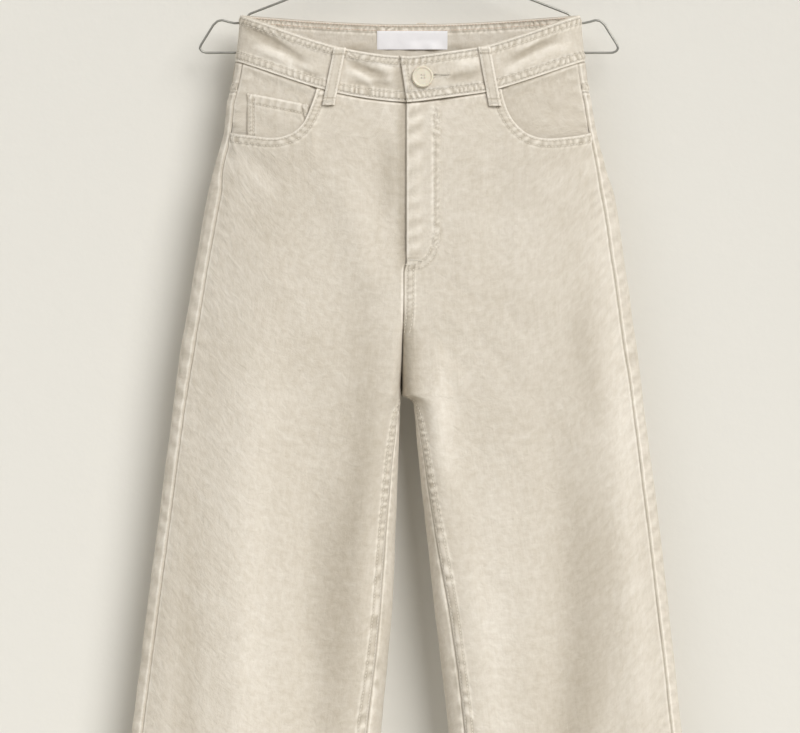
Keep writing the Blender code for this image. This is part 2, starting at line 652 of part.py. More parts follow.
def label():
    """A plain woven patch inside the back of the waistband."""
    back_face = BAND_PROUD - BAND_WALL - SEAM_GAP
    layers = []
    for out in (back_face - LABEL_WALL, back_face):
        grid = []
        for drop in (LABEL_TOP, (LABEL_TOP + LABEL_BOTTOM) / 2, LABEL_BOTTOM):
            row = []
            for x in np.linspace(LABEL_LEFT, LABEL_RIGHT, 6):
                side = LEFT if x > 0 else RIGHT
                row.append(surface(side, BACK, drop, abs(x), out))
            grid.append(row)
        layers.append(grid)
    return shell("label", *layers, "label")


def button():
    """A round button with a raised rim, turned about its own axis."""
    radius = BUTTON_DIAMETER / 2
    profile = [
        (0, 0),
        (radius - BUTTON_ROUND, 0),
        (radius, BUTTON_ROUND),
        (radius, BUTTON_THICK - BUTTON_ROUND),
        (radius - BUTTON_ROUND, BUTTON_THICK),
        (radius - BUTTON_RIM, BUTTON_THICK),
        (radius - BUTTON_RIM - BUTTON_WELL, BUTTON_THICK - BUTTON_WELL),
        (0, BUTTON_THICK - BUTTON_WELL),
    ]
    mesh = bpy.data.meshes.new("button")
    points = [(x * MM, 0, z * MM) for x, z in profile]
    mesh.from_pydata(points, [(k, k + 1) for k in range(len(points) - 1)], [])
    obj = mesh_object("button", mesh, "button", roughness=0.4)
    turn = obj.modifiers.new("turn", "SCREW")
    turn.steps = turn.render_steps = 28
    turn.use_merge_vertices = True
    turn.merge_threshold = 1e-5
    turn.use_normal_calculate = True
    lift = BAND_PROUD + BAND_WALL + 2 * SEAM_GAP
    high, face, low = (
        surface(LEFT, FRONT, BUTTON_DROP + step, BUTTON_X, lift) for step in (-radius, 0, radius)
    )
    lean = math.atan2(high[1] - low[1], 2 * radius)
    obj.location = [value * MM for value in face]
    obj.rotation_euler = (math.radians(90) - lean, 0, 0)
    return obj


def wire_curve(name, points, cyclic):
    """A wire of the hanger along points (x, drop) in the plane of the hanger."""
    curve = bpy.data.curves.new(name, "CURVE")
    curve.dimensions = "3D"
    curve.bevel_depth = WIRE / 2 * MM
    curve.bevel_resolution = 2
    curve.use_fill_caps = True
    spline = curve.splines.new("POLY")
    spline.points.add(len(points) - 1)
    for point, (x, drop) in zip(spline.points, points):
        point.co = (x * MM, 0, -drop * MM, 1)
    spline.use_cyclic_u = cyclic
    return mesh_object(name, curve, "wire", roughness=0.35, metallic=0.9)


def hanger_frame():
    """The closed frame: two shoulders, a notch and a hump at each end, and the bar."""
    shoulder = [(q, SHOULDER_TOP + drop) for q, drop in reversed(SHOULDER_BENDS)]
    right_half = shoulder + [(bend.q, bend.drop) for bend in HANGER_END]
    left_half = [(-x, drop) for x, drop in reversed(right_half)]
    return wire_curve("hanger_frame", [*right_half, *left_half, (0, SHOULDER_TOP)], True)


def hanger_hook():
    """A neck on the centre line that opens into the hook."""
    radius = HOOK_INNER_RADIUS + WIRE / 2
    centre = HOOK_INNER_RADIUS
    tilt = math.radians(HOOK_TILT)
    join = (-radius * math.cos(tilt), centre + radius * math.sin(tilt))
    neck_top = join[1] + NECK_BEND
    points = [(0, SHOULDER_TOP - WIRE / 2 - SEAM_GAP), (0, neck_top + NECK_STRAIGHT), (0, neck_top)]
    points += [(join[0] * share, join[1] + below) for share, below in NECK_BENDS]
    for step in range(HOOK_STEPS):
        angle = math.pi + tilt - step * math.radians(HOOK_STEP_ANGLE)
        points.append((radius * math.cos(angle), centre - radius * math.sin(angle)))
    return wire_curve("hanger_hook", points, False)


def hanger_collar():
    """A short sleeve round the neck, just above the shoulders."""
    bore, radius = WIRE / 2 + SEAM_GAP, COLLAR_DIAMETER / 2
    foot = SHOULDER_TOP - WIRE / 2 - SEAM_GAP
    narrow = radius - COLLAR_ROUND
    profile = [(bore, 0), (narrow, 0), (radius, COLLAR_ROUND), (radius, COLLAR_HEIGHT - COLLAR_ROUND)]
    profile += [(narrow, COLLAR_HEIGHT), (bore, COLLAR_HEIGHT)]
    mesh = bpy.data.meshes.new("hanger_collar")
    points = [(x * MM, 0, height * MM) for x, height in profile]
    edges = [(k, (k + 1) % len(points)) for k in range(len(points))]
    mesh.from_pydata(points, edges, [])
    obj = mesh_object("hanger_collar", mesh, "wire", roughness=0.4, metallic=0.9)
    turn = obj.modifiers.new("turn", "SCREW")
    turn.steps = turn.render_steps = 20
    turn.use_merge_vertices = True
    turn.merge_threshold = 1e-5
    turn.use_normal_calculate = True
    obj.location = (0, 0, -foot * MM)
    return obj


def main():
    for obj in list(bpy.data.objects):
        bpy.data.objects.remove(obj)
    collection = bpy.data.collections.new("wide_leg_jeans")
    bpy.context.scene.collection.children.link(collection)
    for side in (LEFT, RIGHT):
        front_panel(side)
        back_panel(side)
        yoke(side)
        pocket_facing(side)
        back_pocket(side)
    waistband()
    fly_facing()
    coin_pocket()
    for loop in FRONT_LOOPS:
        front_loop(loop)
    for loop in BACK_LOOPS:
        back_loop(loop)
    label()
    button()
    hanger_frame()
    hanger_hook()
    hanger_collar()


main()
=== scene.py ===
"""Ecru wide leg jeans that hang flat from a wire hanger, finished for their picture.

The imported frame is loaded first. Every cloth piece is then made again as a fine, thin shell on
the same form, with the creases, puckers and turned edges of washed denim, and sewn with stitches.

Lengths are in millimetres until a mesh is made. The origin is under the crown of the hanger's
hook, +Z is up and the front of the jeans faces -Y, so the wearer's left is at +X. A height is
given as its drop below the origin, and q is the distance from the centre line to one side.
"""

import json
import logging
import math
from collections.abc import Sequence
from dataclasses import dataclass, field
from enum import Enum
from typing import NamedTuple

import bpy
import numpy as np
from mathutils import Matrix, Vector
from mathutils.kdtree import KDTree

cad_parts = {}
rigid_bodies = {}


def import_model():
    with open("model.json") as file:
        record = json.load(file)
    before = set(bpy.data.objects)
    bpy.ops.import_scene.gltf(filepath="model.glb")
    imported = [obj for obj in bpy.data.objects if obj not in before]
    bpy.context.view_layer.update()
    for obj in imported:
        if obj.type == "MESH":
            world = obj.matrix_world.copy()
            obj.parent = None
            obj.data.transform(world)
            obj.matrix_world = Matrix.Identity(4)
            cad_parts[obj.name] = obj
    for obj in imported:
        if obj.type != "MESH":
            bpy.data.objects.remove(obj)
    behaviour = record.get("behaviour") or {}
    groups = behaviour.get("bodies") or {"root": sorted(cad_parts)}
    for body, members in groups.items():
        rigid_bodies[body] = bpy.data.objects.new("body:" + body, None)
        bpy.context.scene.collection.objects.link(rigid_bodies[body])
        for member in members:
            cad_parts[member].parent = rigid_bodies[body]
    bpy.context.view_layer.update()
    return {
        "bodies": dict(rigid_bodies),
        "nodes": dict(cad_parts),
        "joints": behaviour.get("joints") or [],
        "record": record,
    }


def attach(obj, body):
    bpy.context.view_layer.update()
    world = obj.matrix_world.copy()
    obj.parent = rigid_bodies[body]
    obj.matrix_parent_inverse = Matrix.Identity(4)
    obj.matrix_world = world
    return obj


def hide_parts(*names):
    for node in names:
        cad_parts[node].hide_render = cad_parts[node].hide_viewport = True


LOG = logging.getLogger("wide_leg_jeans")
MM = 0.001
Array = np.ndarray
Object, Mesh, Material = bpy.types.Object, bpy.types.Mesh, bpy.types.Material
Tree, Node, Socket = bpy.types.NodeTree, bpy.types.Node, bpy.types.NodeSocket
Triple = tuple[float, float, float]  # a colour, a place or a way


class Side(Enum):
    """One half of the jeans, as their wearer has it."""

    LEFT = "left"
    RIGHT = "right"

    @property
    def sign(self) -> int:
        """The way along X to this half."""
        return 1 if self is Side.LEFT else -1


class Face(Enum):
    """The front or the back of the jeans."""

    FRONT = "front"
    BACK = "back"

    @property
    def sign(self) -> int:
        """The way along Y to this face."""
        return -1 if self is Face.FRONT else 1


LEFT, RIGHT, FRONT, BACK = Side.LEFT, Side.RIGHT, Face.FRONT, Face.BACK

# ---------------------------------------------------------------- sizes of the form

WALL = 1.4
SEAM_GAP = 0.3
LAP_GAP = 0.6
FRONT_SQUARE = 2.6
BAND_TOP, BAND_HEIGHT, BAND_WALL, BAND_PROUD = 150.0, 45.0, 3.0, 0.8
BAND_SEAM_GAP = 0.4
BAND_DIP = {FRONT: 41.0, BACK: 8.5}
DIP_POWER = 1.1
BAND_SAG = {LEFT: 2.1, RIGHT: 0.7}  # how much straighter it runs down to the button
CROTCH, HEM = 523.0, 1209.0
FLY_EDGE, FLY_CURVE_FROM, FLY_BOTTOM = -2.4, 352.0, 394.0
YOKE_SIDE, YOKE_CENTRE = 225.0, 262.0
MOUTH_LIFT = {LEFT: 0.9, RIGHT: 2.3}


class Level(NamedTuple):
    """The outline and the depths of the form at one height."""

    drop: float
    left_fold: float
    right_fold: float
    left_inner: float
    right_inner: float
    peak: float
    fold_y: float
    front: float
    back: float
    back_square: float
    roll: float
    fork_front: float
    fork_back: float
    seam_in: float
    turn: float


LEVELS = [
    Level(140, 166.0, 164.0, -2.85, 3.15, 0, -8.0, 25.0, 5.2, 8.0, 15, 0, 0, 6.0, 0),
    Level(194, 172.0, 169.3, -2.85, 3.15, 0, -8.0, 27.0, 5.2, 7.0, 15, 0, 0, 6.0, 0),
    Level(222, 175.5, 174.0, -2.85, 3.15, 0, -8.2, 29.0, 8.0, 5.0, 15, 0, 0, 5.6, 0),
    Level(236, 178.0, 177.5, -2.85, 3.15, 0, -8.5, 30.0, 10.5, 4.0, 15, 0, 0, 5.4, 0),
    Level(265, 183.0, 180.5, -2.85, 3.15, 5, -9.0, 31.5, 14.0, 3.2, 15, 0, 0, 5.4, 0),
    Level(302, 193.0, 191.4, -2.85, 3.15, 12, -10, 33.0, 18.0, 2.8, 15, 0, 0, 8.0, 0),
    Level(328, 202.0, 198.0, -2.85, 3.15, 22, -10, 33.5, 20.0, 2.6, 15, 0, 0, 12.8, 0),
    Level(390, 211.4, 208.8, -2.85, 3.15, 43, -10, 33.0, 21.8, 2.6, 15, 0, 0, 12.3, 0),
    Level(403, 213.3, 211.0, -4.95, 5.25, 48, -10, 33.0, 22.0, 2.6, 14, 0, 0, 12.2, 0),
    Level(430, 217.0, 215.5, -5.1, 5.4, 60, -10, 32.5, 22.0, 2.6, 12, 0, 0, 12.4, 0),
    Level(478, 223.6, 223.6, -6.1, 6.4, 80, -10, 31.0, 22.0, 2.6, 11, 0.4, 0.3, 12.8, 0),
    Level(500, 226.6, 226.4, -6.8, 7.1, 92, -10, 30.5, 21.5, 2.6, 11, 0.75, 0.65, 12.0, 0),
    Level(515, 228.5, 228.5, -7.3, 7.6, 98, -10, 30.0, 21.0, 2.6, 12, 1, 1, 11.6, 0),
    Level(523, 229.3, 229.4, -7.4, 7.7, 101, -10, 29.7, 21.0, 2.6, 13, 1, 1, 11.4, 6),
    Level(527, 229.7, 229.9, 3.3, 8.0, 103, -10, 29.5, 21.0, 2.6, 17, 1, 1, 11.3, 10),
    Level(541, 231.2, 231.7, 5.5, 8.8, 108, -10, 29.0, 21.0, 2.6, 25, 1, 1, 11.0, 25),
    Level(606, 240.0, 240.3, 11.6, 11.4, 122, -10, 28.0, 20.0, 2.6, 34, 1, 1, 11.5, 38),
    Level(730, 254.5, 256.5, 27.5, 16.5, 140, -10, 27.0, 19.0, 2.6, 40, 1, 1, 10.8, 46),
    Level(854, 268.0, 272.0, 40.6, 29.5, 152, -10, 26.0, 19.0, 2.6, 43, 1, 1, 10.0, 48),
    Level(1209, 308.0, 317.0, 72.0, 60.0, 190, -10, 27.0, 19.0, 2.6, 45, 1, 1, 10.0, 48),
]


class Mouth(NamedTuple):
    """A point of both curved pocket mouths, from the waistband round to the side seam."""

    left_q: float
    left_drop: float
    right_q: float
    right_drop: float


MOUTHS = [
    Mouth(90.2, 222.4, 89.6, 222.1),
    Mouth(92.6, 233.5, 92.4, 232.9),
    Mouth(96.6, 245.0, 96.7, 244.5),
    Mouth(102.9, 255.3, 102.5, 256.2),
    Mouth(113.4, 265.0, 111.1, 264.6),
    Mouth(125.3, 269.9, 122.6, 269.3),
    Mouth(138.9, 271.0, 134.3, 270.4),
    Mouth(157.0, 269.2, 153.0, 268.2),
    Mouth(169.5, 267.3, 166.5, 266.7),
]
MOUTH_FOOT = 265.3
# The front panels' rows: one at the mouth's corner, the first straight one at the side seam and at
# the centre, the first level one, and the one below which rows are further apart.
CORNER_ROW, SIDE_ROW, CENTRE_ROW, LEVEL_ROW, COARSE_ROW = 277.0, 330, 357, 488, 640
FLY_SEW_OUT, FLY_SQUARE = 30.2, 2.6  # the fly's outer stitches, and how square their foot turns
FLY_TACKS = [(27.6, 247.0, 90.0), (26.6, 380.0, 62.0), (6.0, 390.5, 4.0, 14.0)]
TACKED = {"length": 2.2, "thickness": 0.55, "turned": 1.5708}  # stitches across their row


class Loop(NamedTuple):
    """A belt loop: its middle line's q at the top and foot, its width, and its ends."""

    name: str
    side: Side
    face: Face
    q_top: float
    q_foot: float
    width: float
    top: float
    foot: float


FRONT_LOOPS = [
    Loop("belt_loop_front_left", LEFT, FRONT, 73.5, 84.3, 12.0, 181.5, 239.6),
    Loop("belt_loop_front_right", RIGHT, FRONT, 67.6, 78.8, 12.0, 182.5, 238.7),
]
BACK_LOOPS = [
    Loop("belt_loop_back", LEFT, BACK, 12.3, 12.3, 12.0, 158.0, 219.0),
    Loop("belt_loop_side_left", LEFT, BACK, 163.2, 166.6, 7.5, 151.0, 212.0),
    Loop("belt_loop_side_right", RIGHT, BACK, 162.6, 164.6, 7.5, 151.0, 212.0),
]
LOOP_WALL = 2.2
HOLE_Q, HOLE_DROP, HOLE_LENGTH = 24.5, 209.7, 13.7  # the buttonhole's slit
END_TOP, END_LEAN = -8.8, 6.6  # where the band's end on top is at its top edge, and its slant
BUTTON_RADIUS, BUTTON_THICK, BUTTON_X, BUTTON_DROP = 10.5, 3.6, 13.0, 211.3
HOLE_OUT = 1.45  # from the button's middle to each of its four holes, along and across
WIRE, SHOULDER_TOP, BAR_DROP, HOOK_RADIUS = 3.0, 88.0, 186.3, 21.5
HANGER_SHOULDER = [(0, 88), (7, 90.3), (26, 97.6)]
HANGER_END = [
    (155.8, 147.9), (157.4, 149.0), (158.3, 151.2), (158.9, 153.8), (160.6, 156.0),
    (165.0, 157.0), (171.5, 157.2), (177.5, 155.9), (183.5, 154.2), (188.0, 155.2),
    (192.0, 158.8), (204.2, 178.4), (205.4, 181.8), (203.6, 184.8), (199.6, 186.3),
]


class Crease(NamedTuple):
    """A soft ridge between two points of the cloth. A height below 0 is a trough."""

    side: Side
    face: Face
    q_top: float
    top: float
    q_foot: float
    foot: float
    width: float
    height: float


def creases_on(side: Side, face: Face, rows: Sequence[tuple[float, ...]]) -> list[Crease]:
    """Returns the creases of one side and face, from rows of their other measures."""
    return [Crease(side, face, *row) for row in rows]


# The large folds that the frame has too.
FOLDS = [
    *creases_on(RIGHT, FRONT, [
        (150, 330, 186, 900, 30, 2.6), (96, 470, 120, 1209, 34, -2.4),
        (176, 620, 238, 1300, 30, -2.6),
    ]),
    *creases_on(LEFT, FRONT, [
        (130, 360, 170, 1000, 32, 2.6), (176, 560, 232, 1300, 32, -2.6),
        (70, 520, 110, 1209, 34, 2.2),
    ]),
    *creases_on(RIGHT, BACK, [
        (120, 470, 170, 1209, 36, 3.0), (60, 560, 110, 1300, 30, -2.4),
    ]),
    *creases_on(LEFT, BACK, [
        (120, 500, 168, 1209, 36, 3.0), (190, 620, 240, 1300, 30, -2.4),
    ]),
]

# Smaller creases of the worn and washed cloth.
CREASES = [
    # whiskers that spread from the fork over both thighs
    *creases_on(RIGHT, FRONT, [
        (12, 436, 62, 470, 5, 0.9), (10, 420, 58, 444, 5, -0.8), (8, 398, 66, 424, 6, 0.8),
        (14, 470, 60, 512, 5, -0.8), (26, 490, 66, 540, 6, 0.8), (10, 372, 60, 388, 7, -0.6),
        (40, 406, 92, 432, 7, -0.6),
    ]),
    *creases_on(LEFT, FRONT, [
        (16, 428, 66, 468, 6, 0.9), (12, 452, 58, 502, 5, -0.9), (22, 408, 84, 440, 6, -0.7),
        (30, 480, 74, 548, 6, 0.8), (60, 452, 110, 520, 7, -0.8), (44, 388, 98, 404, 8, 0.6),
        (78, 430, 128, 492, 7, 0.6),
    ]),
    # soft slopes at the hips
    *creases_on(RIGHT, FRONT, [
        (84, 285, 26, 440, 17, 3.6), (40, 270, 8, 390, 13, -1.5), (172, 282, 126, 316, 7, -0.9),
        (176, 298, 118, 346, 8, 0.8), (170, 360, 110, 384, 8, -0.6), (150, 400, 96, 424, 8, 0.6),
    ]),
    *creases_on(LEFT, FRONT, [
        (62, 330, 52, 470, 16, 1.1), (88, 300, 84, 420, 14, -0.9), (172, 284, 128, 312, 7, -0.8),
        (168, 330, 120, 362, 9, 0.7), (176, 388, 128, 424, 8, -0.6),
    ]),
    # hanging folds of the legs
    *creases_on(RIGHT, FRONT, [
        (36, 500, 50, 1150, 15, 3.2), (94, 490, 118, 1209, 23, -5.4),
        (214, 420, 248, 1100, 11, 1.0),
        (196, 430, 226, 1000, 10, -1.0), (150, 480, 184, 1209, 20, 2.4),
        (110, 610, 158, 650, 9, -0.6),
        (128, 720, 176, 764, 9, 0.6),
    ]),
    *creases_on(LEFT, FRONT, [
        (18, 430, 44, 1000, 12, 2.8), (60, 440, 84, 1000, 19, -2.8),
        (134, 440, 164, 1100, 22, -5.2),
        (194, 430, 234, 1209, 18, 3.0), (110, 640, 140, 1209, 16, 1.1),
        (92, 430, 112, 470, 8, -0.9),
        (84, 560, 132, 612, 8, 0.7), (60, 690, 120, 742, 9, -0.7),
    ]),
    # the back: seat, thighs and knees
    *creases_on(RIGHT, BACK, [
        (14, 420, 84, 474, 7, 1.2), (10, 450, 70, 512, 6, -1.1), (22, 480, 88, 560, 8, 1.1),
        (168, 470, 110, 506, 8, -0.9), (90, 560, 120, 1209, 16, 1.4),
        (190, 520, 226, 1209, 14, -1.3),
        (150, 760, 90, 800, 9, 0.9), (170, 800, 96, 836, 9, -0.8),
    ]),
    *creases_on(LEFT, BACK, [
        (12, 410, 80, 462, 7, 1.1), (8, 446, 72, 506, 6, -1.1), (24, 486, 92, 566, 8, 1.0),
        (172, 462, 116, 500, 8, -0.9), (84, 560, 112, 1209, 16, -1.4),
        (150, 540, 186, 1209, 14, -1.3),
        (156, 748, 98, 786, 9, 0.9), (176, 792, 100, 830, 9, -0.8),
    ]),
]

# Broad paler (above 0) and darker (below 0) bands of the cloth's colour. They stand in for the
# part of the large folds' light and shade that their shape doesn't give.
TONE_BANDS = [
    *creases_on(RIGHT, FRONT, [
        (46, 390, 66, 900, 21, -0.85), (64, 880, 58, 1209, 18, -0.6), (84, 590, 92, 800, 14, -0.3),
        (213, 540, 224, 1209, 12, -0.6), (150, 420, 160, 1150, 26, 0.35),
        (17, 262, 18, 350, 9, -0.6),
        (168, 280, 150, 350, 20, 0.3),
    ]),
    *creases_on(LEFT, FRONT, [
        (26, 470, 42, 620, 12, 0.7), (76, 560, 94, 1000, 22, 0.4), (168, 520, 152, 1209, 27, -0.95),
        (172, 410, 180, 560, 14, -0.5), (190, 280, 232, 860, 14, 0.4),
        (106, 280, 118, 350, 16, -0.2),
    ]),
]

# Creases of the waistband, whose heights are measured down from its top edge.
BAND_CREASES = [
    *creases_on(RIGHT, FRONT, [
        (166, 9, 96, 26, 4.5, -2.7), (150, 24, 92, 31, 5, 2.7), (156, 30, 110, 20, 4, 1.4),
        (124, 26, 84, 36, 4, -2.1), (60, 12, 20, 22, 4, -2.7), (62, 20, 30, 31, 4.5, 2.7),
        (60, 33, 12, 30, 4, -2.0), (40, 13, 12, 13, 3.5, 1.7),
    ]),
    *creases_on(LEFT, FRONT, [
        (44, 15, 70, 16, 3.5, 1.7), (34, 26, 70, 26, 4, -2.0), (92, 20, 150, 16, 5, -2.0),
        (90, 30, 160, 24, 4.5, 2.1), (100, 13, 140, 11, 3, 1.0),
    ]),
    *creases_on(RIGHT, BACK, [
        (150, 16, 60, 26, 5, 2.0), (120, 30, 20, 24, 5, -1.7),
    ]),
    *creases_on(LEFT, BACK, [
        (150, 18, 60, 28, 5, 2.0), (120, 30, 24, 22, 5, -1.7),
    ]),
]

FACING_CREASES = [
    *creases_on(LEFT, FRONT, [
        (110, 222, 160, 240, 5, 0.7), (118, 238, 165, 252, 5, -0.7), (100, 226, 128, 258, 5, 0.6),
    ]),
    *creases_on(RIGHT, FRONT, [
        (150, 214, 168, 250, 5, 0.6),
    ]),
]
COIN_CREASES = [
    *creases_on(RIGHT, FRONT, [
        (150, 238, 112, 262, 5, 0.7), (156, 250, 128, 270, 4, -0.6), (120, 244, 104, 256, 4, -0.5),
    ]),
]


# ---------------------------------------------------------------- the form


class Curve:
    """A smooth curve through one column of a table, which never swings past its rows."""

    def __init__(self, xs: Sequence[float], ys: Sequence[float]) -> None:
        """Takes the table's places, which rise, and their values."""
        self.xs = np.array(xs, float)
        self.ys = np.array(ys, float)
        rise = np.diff(self.ys) / np.diff(self.xs)
        before, after = rise[:-1], rise[1:]
        same_way = before * after > 0
        mean = np.where(same_way, 2 * before * after / np.where(same_way, before + after, 1), 0)
        self.slopes = np.concatenate([rise[:1], mean, rise[-1:]])

    def __call__(self, x: Array | float) -> Array:
        """Returns the curve's value at each x."""
        x = np.asarray(x, float)
        k = np.clip(np.searchsorted(self.xs, x) - 1, 0, len(self.xs) - 2)
        span = self.xs[k + 1] - self.xs[k]
        t = np.clip((x - self.xs[k]) / span, 0, 1)
        start = (1 + 2 * t) * (1 - t) ** 2 * self.ys[k] + t * (1 - t) ** 2 * span * self.slopes[k]
        end = t**2 * (3 - 2 * t) * self.ys[k + 1] + t**2 * (t - 1) * span * self.slopes[k + 1]
        return start + end


def ramp(value: Array | float, start: float, end: float) -> Array:
    """Returns 0 at start and 1 at end, with a soft turn at both."""
    t = np.clip((np.asarray(value, float) - start) / (end - start), 0, 1)
    return t * t * (3 - 2 * t)


def bell(distance: Array, width: float) -> Array:
    """Returns 1 at distance 0 and a soft fall to 0 on both sides of it."""
    return np.exp(-((distance / width) ** 2))


class Crumple:
    """Smooth uneven waves in two directions, the same on every run."""

    def __init__(self, seed: int) -> None:
        """Takes the seed of its table of heights."""
        self.heights = np.random.default_rng(seed).uniform(-1, 1, (128, 128))

    def __call__(self, x: Array | float, y: Array | float = 0.0) -> Array:
        """Returns heights from -1 to 1 at points whose unit is the waves' own size."""
        x, y = np.broadcast_arrays(np.asarray(x, float), np.asarray(y, float))
        i, j = np.floor(x).astype(int), np.floor(y).astype(int)
        u, v = x - i, y - j
        u, v = u * u * (3 - 2 * u), v * v * (3 - 2 * v)
        at = self.heights
        i, j, k, m = i % 128, j % 128, (i + 1) % 128, (j + 1) % 128
        high = at[i, j] * (1 - u) + at[k, j] * u
        low = at[i, m] * (1 - u) + at[k, m] * u
        return high * (1 - v) + low * v


WAVES = Crumple(11)
DRIFT = Crumple(23)


def crease_relief(
    creases: Sequence[Crease], left: Array, front: Array, drop: Array, q: Array
) -> Array:
    """How far a list of creases pushes the cloth out.

    Args:
        creases: the creases to add up.
        left: true where a point is on the wearer's left.
        front: true where a point is on the front.
        drop: the points' heights.
        q: the points' distances from the centre line.

    Returns:
        The push at each point, in millimetres.
    """
    left, front, drop, q = np.broadcast_arrays(left, front, drop, q)
    total = np.zeros(drop.shape)
    for crease in creases:
        here = (left == (crease.side is LEFT)) & (front == (crease.face is FRONT))
        if not here.any():
            continue
        run, fall = crease.q_foot - crease.q_top, crease.foot - crease.top
        length = math.hypot(run, fall)
        along = ((q - crease.q_top) * run + (drop - crease.top) * fall) / length**2
        across = ((q - crease.q_top) * fall - (drop - crease.top) * run) / length
        across = across + 0.5 * crease.width * DRIFT(along * 3 + crease.top, crease.q_top)
        swell = np.sin(math.pi * np.clip(along, 0, 1)) ** 0.8
        total = total + np.where(here, crease.height * bell(across, crease.width) * swell, 0)
    return total


def fold_relief(side: Side, face: Face, drop: Array, q: Array) -> Array:
    """How far the large folds, which the frame has too, push the cloth out."""
    total = np.zeros(np.broadcast(drop, q).shape)
    for fold in FOLDS:
        if (fold.side, fold.face) == (side, face):
            along = np.clip((drop - fold.top) / (fold.foot - fold.top), 0, 1)
            middle = fold.q_top + (fold.q_foot - fold.q_top) * along
            swell = np.sin(math.pi * along) ** 0.8
            total = total + fold.height * bell(q - middle, fold.width) * swell
    return total


class Form:
    """The flattened shape that every cloth piece lies on."""

    def __init__(self) -> None:
        """Makes a curve of each column of the levels."""
        drops = [level.drop for level in LEVELS]
        names = Level._fields[1:]
        self.body = {name: Curve(drops, [getattr(row, name) for row in LEVELS]) for name in names}

    def face_point(self, side: Side, face: Face, drop: Array, q: Array, out: Array) -> Array:
        """Returns points of one face, moved out from the cloth's outer face, in millimetres."""
        body = self.body
        fold, inner = body[side.value + "_fold"](drop), body[side.value + "_inner"](drop)
        peak, roll, fork = body["peak"](drop), body["roll"](drop), body["fork_" + face.value](drop)
        square = body["back_square"](drop) if face is BACK else FRONT_SQUARE
        towards_fold = np.clip((q - peak) / (fold - peak), 0, 1)
        round_fold = np.sqrt(1 - towards_fold**square)
        towards_inner = np.clip(1 - (q - inner) / roll, 0, 1)
        round_inner = 1 - fork * (1 - np.sqrt(1 - towards_inner**2))
        depth = body[face.value](drop) + fold_relief(side, face, drop, q) + out
        x = side.sign * (q + out * (towards_fold - fork * towards_inner))
        y = body["fold_y"](drop) + face.sign * depth * round_fold * round_inner
        return np.stack(np.broadcast_arrays(x, y, -drop), -1)

    def point(
        self,
        left: Array | bool,
        front: Array | bool,
        drop: Array,
        q: Array,
        out: Array | float = 0.0,
    ) -> Array:
        """Returns points of the form, in millimetres.

        Args:
            left: true where a point is on the wearer's left.
            front: true where a point is on the front, and false on the back.
            drop: heights, as drops below the origin.
            q: distances from the centre line.
            out: how far each point is moved out from the cloth's outer face.
        """
        out = np.asarray(out, float)
        left, front, drop, q, out = np.broadcast_arrays(left, front, drop, q, out)
        drop, q = drop.astype(float), q.astype(float)
        points = np.zeros((*drop.shape, 3))
        for side in Side:
            for face in Face:
                here = (left == (side is LEFT)) & (front == (face is FRONT))
                if here.any():
                    points[here] = self.face_point(side, face, drop[here], q[here], out[here])
        return points

    def fold_q(
        self, side: Side, front: Array | bool, drop: Array | float, angle: Array | float
    ) -> Array:
        """Returns q at an angle round the side fold: 0 is its tip, 90 where it is deepest."""
        square = np.where(front, FRONT_SQUARE, self.body["back_square"](drop))
        peak, fold = self.body["peak"](drop), self.body[side.value + "_fold"](drop)
        return peak + (fold - peak) * np.abs(np.cos(np.radians(angle))) ** (2 / square)

    def inner_q(self, side: Side, drop: Array | float, angle: Array | float) -> Array:
        """Returns q at an angle round the inner edge of a leg: 0 is its tip."""
        turned = 1 - np.cos(np.radians(angle))
        return self.body[side.value + "_inner"](drop) + self.body["roll"](drop) * turned

    def side_seam_q(self, side: Side, drop: Array | float) -> Array:
        """Returns q of the side seam, which lies on the front near the fold."""
        return self.body[side.value + "_fold"](drop) - self.body["seam_in"](drop)

    def side_seam_angle(self, side: Side, drop: Array | float) -> Array:
        """Returns the side seam's angle round the fold, on the front."""
        peak, fold = self.body["peak"](drop), self.body[side.value + "_fold"](drop)
        reach = (self.side_seam_q(side, drop) + SEAM_GAP / 2 - peak) / (fold - peak)
        return np.degrees(np.arccos(np.clip(reach, 0, 1) ** (FRONT_SQUARE / 2)))

    def band_edge(
        self, side: Side, face: Face, q: Array | float, across: Array | float
    ) -> Array:
        """Returns the waistband's height at this q: across 0 is its top edge, 1 its bottom."""
        fold = self.body[side.value + "_fold"](BAND_TOP + np.asarray(across) * BAND_HEIGHT)
        share = np.clip(np.abs(q) / fold, 0, 1)
        dip = BAND_DIP[face] * np.cos(math.pi / 2 * share) ** DIP_POWER
        if face is FRONT:
            dip = dip - BAND_SAG[side] * np.sin(math.pi * np.clip(np.abs(q) / 72, 0, 1))
        return BAND_TOP + across * BAND_HEIGHT + dip


FORM = Form()


# ---------------------------------------------------------------- seams and cloth


